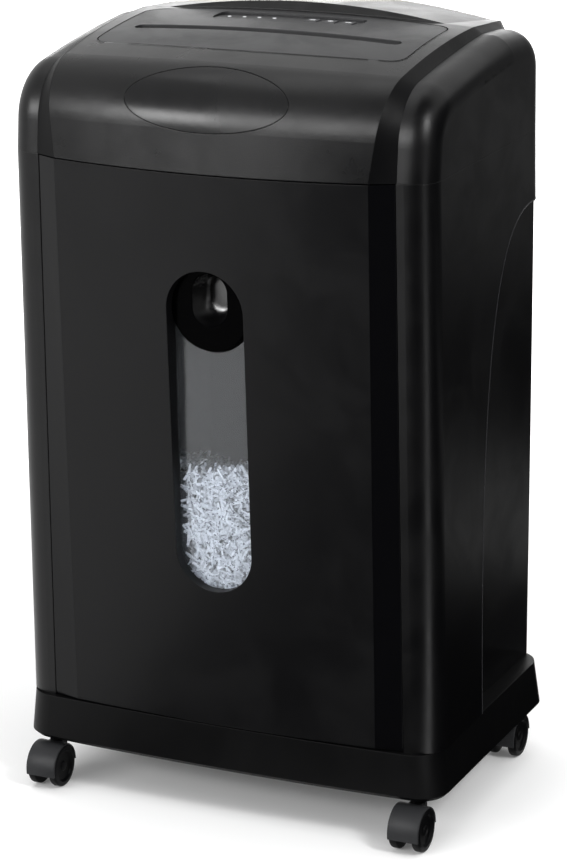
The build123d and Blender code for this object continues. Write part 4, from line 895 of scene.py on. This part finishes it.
def in_stripe(face):
    """True for an outer face of the head beyond the edge of the brow, which slants outwards as it rises."""
    middle = face.calc_center_median()
    inner = STRIPE_INNER + BROW_FLARE * (middle.z - head_low.z)
    outwards = face.normal.z - face.normal.y
    return abs(middle.x) > inner and outwards > FACES_OUT and abs(face.normal.x) < FACES_SIDEWAYS


stripes = cad_copy("head_cover")
bmesh.ops.delete(stripes, geom=[f for f in stripes.faces if not in_stripe(f)], context="FACES")
stripes.normal_update()
for corner in stripes.verts:
    corner.co += corner.normal * INLAY_LIFT
stripe_piece = finish_piece(stripes, "brow_stripes", "cabinet", "housing_black", "stripe_black")
face_towards(stripe_piece, UP)
print("stripe faces:", len(stripe_piece.data.polygons))

# %% [markdown]
# Each side panel has a sunk field with a long curved edge, whose rounding catches a thin line of light. A low
# bead follows that edge, in a paler colour than the panel, which paints that line as a highlight. It starts
# from the panel's own edges: those where its outer face meets a wall of the field.

# %% Edge of the side fields
BEAD_WIDTH = 0.0016
BEAD_HEIGHT = 0.0003
BEAD_MERGE = 0.00005
FIELD_MARGIN = 0.003
OUTER_FACE = 0.9
WALL_FACE = 0.5


def field_edges(shape, side, low, high):
    """Edges between a side panel's outer face and the wall of its field, each with that wall."""
    found = []
    for edge in shape.edges:
        middle = (edge.verts[0].co + edge.verts[1].co) / 2
        inside_y = low.y + FIELD_MARGIN < middle.y < high.y - FIELD_MARGIN
        inside_z = low.z + FIELD_MARGIN < middle.z < high.z - FIELD_MARGIN
        outer = [f for f in edge.link_faces if f.normal.x * side > OUTER_FACE]
        walls = [f for f in edge.link_faces if abs(f.normal.x) < WALL_FACE]
        if inside_y and inside_z and outer and walls and edge.is_convex:
            found.append((edge, walls[0]))
    return found


beads = bmesh.new()
for side, name in ((-1.0, "left_side_panel"), (1.0, "right_side_panel")):
    low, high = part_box(name)
    panel_shape = cad_copy(name)
    crest = Vector((side * BEAD_HEIGHT, 0.0, 0.0))
    for edge, wall in field_edges(panel_shape, side, low, high):
        away = Vector((0.0, wall.normal.y, wall.normal.z)).normalized() * -BEAD_WIDTH
        start, end = (v.co for v in edge.verts)
        rows = [[point, point + away / 2 + crest, point + away] for point in (start, end)]
        first, last = [[beads.verts.new(point) for point in row] for row in rows]
        for step in range(len(first) - 1):
            beads.faces.new((first[step], last[step], last[step + 1], first[step + 1]))
    panel_shape.free()
bmesh.ops.remove_doubles(beads, verts=beads.verts, dist=BEAD_MERGE)
# The bead's paler, glossier finish paints the line of light along the field's edge
bead_piece = finish_piece(beads, "field_bead_highlights", "cabinet", "housing_black", "bead_black")
print("bead faces:", len(bead_piece.data.polygons))

# %% [markdown]
# A dark line of painted shade runs round the top panel, where a narrow gap parts it from the head.
# The line follows the rim of the panel's own top faces: the rim's edges are drawn outwards by the width of
# the line, and the faces are taken away.

# %% Gap round the top panel
GAP_WIDTH = 0.0009
GAP_LIFT = 0.00025
FACES_UP = 0.8
RIM_SHARE = 0.88
panel_low, panel_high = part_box("top_panel")
rim_half = (panel_high - panel_low) / 2
rim_middle = (panel_high + panel_low) / 2


def on_rim(edge):
    """True for an edge of the panel's outline, not of the openings inside it."""
    middle = (edge.verts[0].co + edge.verts[1].co) / 2 - rim_middle
    return edge.is_boundary and max(abs(middle.x) / rim_half.x, abs(middle.y) / rim_half.y) > RIM_SHARE


gap = cad_copy("top_panel")
bmesh.ops.delete(gap, geom=[f for f in gap.faces if f.normal.z < FACES_UP], context="FACES")
tops = list(gap.faces)
made = bmesh.ops.extrude_edge_only(gap, edges=[e for e in gap.edges if on_rim(e)])
wider = Vector((1.0 + GAP_WIDTH / rim_half.x, 1.0 + GAP_WIDTH / rim_half.y, 1.0))
bmesh.ops.scale(gap, verts=new_corners(made), vec=wider, space=Matrix.Translation(-rim_middle))
bmesh.ops.delete(gap, geom=tops, context="FACES")
bmesh.ops.translate(gap, verts=gap.verts, vec=(0.0, 0.0, GAP_LIFT))
# A near-black sheet over the gap: painted shade
gap_piece = finish_piece(gap, "panel_gap_shade", "cabinet", "panel_black", "gap_black")
print("gap faces:", len(gap_piece.data.polygons))

# %% [markdown]
# The handle cup has a smooth finger scoop. In CAD it is a straight pocket. A bowl with steep walls and a
# rounded floor lines it here, so that the gloss catches light on one side, as a moulded scoop does.

# %% Finger scoop
SCOOP_RADIUS = 0.0147
SCOOP_STRETCH = 0.0118
SCOOP_BOTTOM = 0.4053
SCOOP_DEPTH = 0.022
SCOOP_SET_BACK = 0.0004
SCOOP_SEGMENTS = 48
SCOOP_STEPS = 9
SCOOP_FLOOR_STEP = 0.6
SCOOP_STEEPNESS = 0.38
cup_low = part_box("bin_handle_cup")[0]
scoop_middle = Vector((0.0, cup_low.y + SCOOP_SET_BACK, SCOOP_BOTTOM + SCOOP_RADIUS))
centre = scoop_middle + Vector((0.0, 0.0, SCOOP_STRETCH / 2))

scoop = bmesh.new()
bmesh.ops.create_circle(scoop, segments=SCOOP_SEGMENTS, radius=SCOOP_RADIUS)
upright_turn = Matrix.Rotation(math.pi / 2, 3, "X")
bmesh.ops.rotate(scoop, verts=scoop.verts, matrix=upright_turn)
bmesh.ops.translate(scoop, verts=scoop.verts, vec=scoop_middle)
upper = [v for v in scoop.verts if v.co.z > scoop_middle.z]
bmesh.ops.translate(scoop, verts=upper, vec=(0.0, 0.0, SCOOP_STRETCH))
ring = list(scoop.edges)
width_now = 1.0
depth_now = 0.0
for step in range(1, SCOOP_STEPS + 1):
    angle = math.pi / 2 * step / (SCOOP_STEPS + SCOOP_FLOOR_STEP)
    made = bmesh.ops.extrude_edge_only(scoop, edges=ring)
    ring = [item for item in made["geom"] if isinstance(item, bmesh.types.BMEdge)]
    width = math.cos(angle) ** SCOOP_STEEPNESS
    depth = SCOOP_DEPTH * math.sin(angle)
    narrow = width / width_now
    moved = new_corners(made)
    bmesh.ops.scale(scoop, verts=moved, vec=(narrow, 1.0, narrow), space=Matrix.Translation(-centre))
    bmesh.ops.translate(scoop, verts=moved, vec=(0.0, depth - depth_now, 0.0))
    width_now = width
    depth_now = depth
bmesh.ops.holes_fill(scoop, edges=[e for e in ring if e.is_boundary], sides=len(ring))
scoop_piece = finish_piece(scoop, "finger_scoop", "bin", "cup_gloss", "scoop_gloss")
face_towards(scoop_piece, FRONT)
print("scoop faces:", len(scoop_piece.data.polygons))

# %% [markdown]
# The console's floor starts level with the top panel and sinks towards the rear, so that its lights and
# buttons show even from low down. The CAD pocket is level and deeper. A sloping deck covers its floor here,
# with an opening for each button, and the buttons and lights are drawn up through it.

# %% Console deck
BUTTON_KEYS = ("reverse", "auto", "forward")
PANEL_LEVEL = 0.61625
PANEL_RISE = 0.0437
PANEL_CROWN = 0.232
SINK_FRONT = 0.0004
SINK_REAR = 0.0024
DECK_THICK = 0.001
DECK_FLANGE = 0.0043
DECK_PLAY = 0.0003
DECK_STEPS = 5
BUTTON_ROW = 1
console_low, console_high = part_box("control_console")
deck_half = console_high.x - DECK_FLANGE
deck_front = console_low.y + DECK_FLANGE
deck_rear = console_high.y - DECK_FLANGE
button_boxes = [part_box(f"{key}_button") for key in BUTTON_KEYS]


def deck_level(x, y):
    """The deck's height: the panel's own crown and rise, less a sink that grows to the rear."""
    share = (y - deck_front) / (deck_rear - deck_front)
    sink = SINK_FRONT + (SINK_REAR - SINK_FRONT) * share
    return PANEL_LEVEL + PANEL_RISE * (y - deck_front) - PANEL_CROWN * x * x - sink


# An even left half under the lights, then the sides of each button
x_lines = [deck_half * step / DECK_STEPS - deck_half for step in range(DECK_STEPS + 1)]
for low, high in button_boxes:
    x_lines += [low.x - DECK_PLAY, high.x + DECK_PLAY]
x_lines.append(deck_half)
y_lines = [deck_front, button_boxes[0][0].y - DECK_PLAY, button_boxes[0][1].y + DECK_PLAY, deck_rear]
deck = bmesh.new()
grid = [[deck.verts.new((x, y, deck_level(x, y))) for y in y_lines] for x in x_lines]
for left, right in zip(grid, grid[1:]):
    middle_x = (left[0].co.x + right[0].co.x) / 2
    at_button = any(low.x < middle_x < high.x for low, high in button_boxes)
    for row in range(len(y_lines) - 1):
        if not (row == BUTTON_ROW and at_button):
            deck.faces.new((left[row], right[row], right[row + 1], left[row + 1]))
thicken(deck, list(deck.faces), (0.0, 0.0, -DECK_THICK))
finish_piece(deck, "console_deck", "cabinet", "console_black", "panel_black")
print("console deck:", len(x_lines), "by", len(y_lines), "lines")

# %% Buttons and lights
BUTTON_PROUD = 0.0009
BUTTON_ROUND = 0.0006
BUTTON_ROUND_STEPS = 3
LENS_PROUD = 0.0004
LENS_SEGMENTS = 20
LIGHT_COUNT = 4

button_tops = {}
for key, (low, high) in zip(BUTTON_KEYS, button_boxes):
    middle = (low + high) / 2
    button_tops[key] = deck_level(middle.x, middle.y) + BUTTON_PROUD
    tall = button_tops[key] - low.z
    cap = bmesh.new()
    bmesh.ops.create_cube(cap, size=1.0)
    bmesh.ops.scale(cap, verts=cap.verts, vec=(high.x - low.x, high.y - low.y, tall))
    bmesh.ops.translate(cap, verts=cap.verts, vec=(middle.x, middle.y, low.z + tall / 2))
    upper = [e for e in cap.edges if min(v.co.z for v in e.verts) > low.z + tall / 2]
    bmesh.ops.bevel(
        cap, geom=upper, offset=BUTTON_ROUND, segments=BUTTON_ROUND_STEPS, profile=0.5, affect="EDGES"
    )
    finish_piece(cap, f"{key}_button_cap", f"{key}_key", "button_plastic", replaces=f"{key}_button")

lights_low, lights_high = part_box("indicator_lights")
lens_size = lights_high.y - lights_low.y
lens_pitch = (lights_high.x - lights_low.x - lens_size) / (LIGHT_COUNT - 1)
lenses = bmesh.new()
for number in range(LIGHT_COUNT):
    x = lights_low.x + lens_size / 2 + lens_pitch * number
    y = (lights_low.y + lights_high.y) / 2
    tall = deck_level(x, y) + LENS_PROUD - lights_low.z
    made = bmesh.ops.create_cone(
        lenses, cap_ends=True, segments=LENS_SEGMENTS, depth=tall,
        radius1=lens_size / 2, radius2=lens_size / 2,
    )["verts"]
    bmesh.ops.translate(lenses, verts=made, vec=(x, y, lights_low.z + tall / 2))
finish_piece(lenses, "indicator_lenses", "cabinet", "light_lens", replaces="indicator_lights")
print("buttons:", len(button_tops), "lights:", LIGHT_COUNT)

# %% [markdown]
# Three generic marks are printed on the buttons: two arrows back, a ring with a bar for on and automatic, and
# two arrows forward, each in a thin square frame. They are thin slabs on the buttons' tops, so they go down
# with them.

# %% Button marks
PRINT_LIFT = 0.00008
PRINT_MARKS_PER_METRE = 300.0
PRINT_GREY = (0.72, 0.73, 0.75, 1.0)
PRINT_WHITE = (0.86, 0.87, 0.89, 1.0)
FRAME_SIZE = 0.0084
FRAME_LINE = 0.0007
ARROW_RADIUS = 0.0019
# Places of the two arrows along their way, in radii from the middle
ARROW_PLACES = (-0.55, 0.75)
RING_RADIUS = 0.0021
RING_LINE = 0.0006
RING_SEGMENTS = 28


def frame_line(shape, middle):
    """A square outline: a square face inset by the line's width, with its inside taken out."""
    made = bmesh.ops.create_grid(shape, x_segments=1, y_segments=1, size=FRAME_SIZE / 2)["verts"]
    bmesh.ops.translate(shape, verts=made, vec=middle)
    square = [f for f in shape.faces if all(v in made for v in f.verts)]
    bmesh.ops.inset_region(shape, faces=square, thickness=FRAME_LINE, use_even_offset=True)
    bmesh.ops.delete(shape, geom=square, context="FACES_ONLY")


def arrows(shape, middle, towards):
    """Two triangles one after the other that point along X."""
    for along in ARROW_PLACES:
        made = bmesh.ops.create_circle(shape, cap_ends=True, segments=3, radius=ARROW_RADIUS)["verts"]
        tip = max(made, key=lambda corner: corner.co.x)
        turn = -math.atan2(tip.co.y, tip.co.x) + (0.0 if towards > 0 else math.pi)
        bmesh.ops.rotate(shape, verts=made, matrix=Matrix.Rotation(turn, 3, "Z"))
        place = middle + Vector((along * ARROW_RADIUS * towards, 0.0, 0.0))
        bmesh.ops.translate(shape, verts=made, vec=place)


def power_ring(shape, middle):
    """A ring with a bar in its middle."""
    made = bmesh.ops.create_circle(shape, segments=RING_SEGMENTS, radius=RING_RADIUS)["verts"]
    bmesh.ops.translate(shape, verts=made, vec=middle)
    rim = list({e for v in made for e in v.link_edges})
    grown = bmesh.ops.extrude_edge_only(shape, edges=rim)
    inner = 1.0 - RING_LINE / RING_RADIUS
    bmesh.ops.scale(
        shape, verts=new_corners(grown), vec=(inner, inner, 1.0), space=Matrix.Translation(-middle)
    )
    bar = bmesh.ops.create_grid(shape, x_segments=1, y_segments=1, size=0.5)["verts"]
    bmesh.ops.scale(shape, verts=bar, vec=(RING_LINE, RING_RADIUS, 1.0))
    bmesh.ops.translate(shape, verts=bar, vec=middle)


finishes["button_print"], tree = new_finish("button_print")
smudge = place_group(tree, hand_marks, PRINT_MARKS_PER_METRE)["Smudge"]
principled(tree, Base_Color=mix_colours(tree, smudge, PRINT_GREY, PRINT_WHITE), Roughness=0.5)

for key, (low, high) in zip(BUTTON_KEYS, button_boxes):
    flat = Vector(((low.x + high.x) / 2, (low.y + high.y) / 2, 0.0))
    mark = bmesh.new()
    frame_line(mark, flat)
    if key == "auto":
        power_ring(mark, flat)
    else:
        arrows(mark, flat, 1.0 if key == "forward" else -1.0)
    bmesh.ops.recalc_face_normals(mark, faces=mark.faces)
    thicken(mark, list(mark.faces), (0.0, 0.0, PRINT_LIFT))
    bmesh.ops.translate(mark, verts=mark.verts, vec=(0.0, 0.0, button_tops[key]))
    finish_piece(mark, f"{key}_mark", f"{key}_key", "light_lens", "button_print")
print("button marks:", len(BUTTON_KEYS))

# %% [markdown]
# The back panel is held by six pan-head screws. A screw's head is half of its cross-section spun round its
# axis, and the cross in it is a thin dark inlay, painted shade in place of its recess, because at this size
# nobody sees its depth.

# %% Back screws
SCREW_RADIUS = 0.0034
SCREW_HEIGHT = 0.0011
SCREW_STEPS = 20
CROSS_REACH = 0.0019
CROSS_HALF = 0.00045
CROSS_LIFT = 0.00004
CROSS_DEPTH = 0.00055
SCREW_HALF_SPAN = 0.141
SCREW_LEVELS = (0.105, 0.300, 0.500)
# Each row is a share of the head's radius and of its height, from the crown to the rim
SCREW_SECTION = ((0.0, 1.0), (0.55, 0.96), (0.82, 0.78), (0.96, 0.42), (1.0, 0.0))
back_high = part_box("back_panel")[1]


def cross_face(shape, middle):
    """A plus sign that faces the rear, made of four equal quarters."""
    quarter = [(-CROSS_HALF, CROSS_REACH), (CROSS_HALF, CROSS_REACH), (CROSS_HALF, CROSS_HALF)]
    corners = []
    for step in range(4):
        turn = Matrix.Rotation(math.pi / 2 * step, 3, "Y")
        corners += [shape.verts.new(middle + turn @ Vector((x, 0.0, z))) for x, z in quarter]
    return shape.faces.new(corners)


screw_heads = bmesh.new()
crosses = bmesh.new()
for level in SCREW_LEVELS:
    for side in (-1.0, 1.0):
        seat = Vector((side * SCREW_HALF_SPAN, back_high.y, level))
        section = [seat + Vector((out * SCREW_RADIUS, up * SCREW_HEIGHT, 0.0)) for out, up in SCREW_SECTION]
        spin_section(screw_heads, section, seat, ALONG_Y, math.tau, SCREW_STEPS)
        crown = seat + Vector((0.0, SCREW_HEIGHT + CROSS_LIFT, 0.0))
        thicken(crosses, [cross_face(crosses, crown)], (0.0, -CROSS_DEPTH, 0.0))
finish_piece(screw_heads, "back_screws", "cabinet", "stem_steel", "screw_zinc")
# The dark crosses are painted shade in place of recesses
finish_piece(crosses, "back_screw_crosses", "cabinet", "stem_steel", "screw_cross")
print("screws:", 2 * len(SCREW_LEVELS))
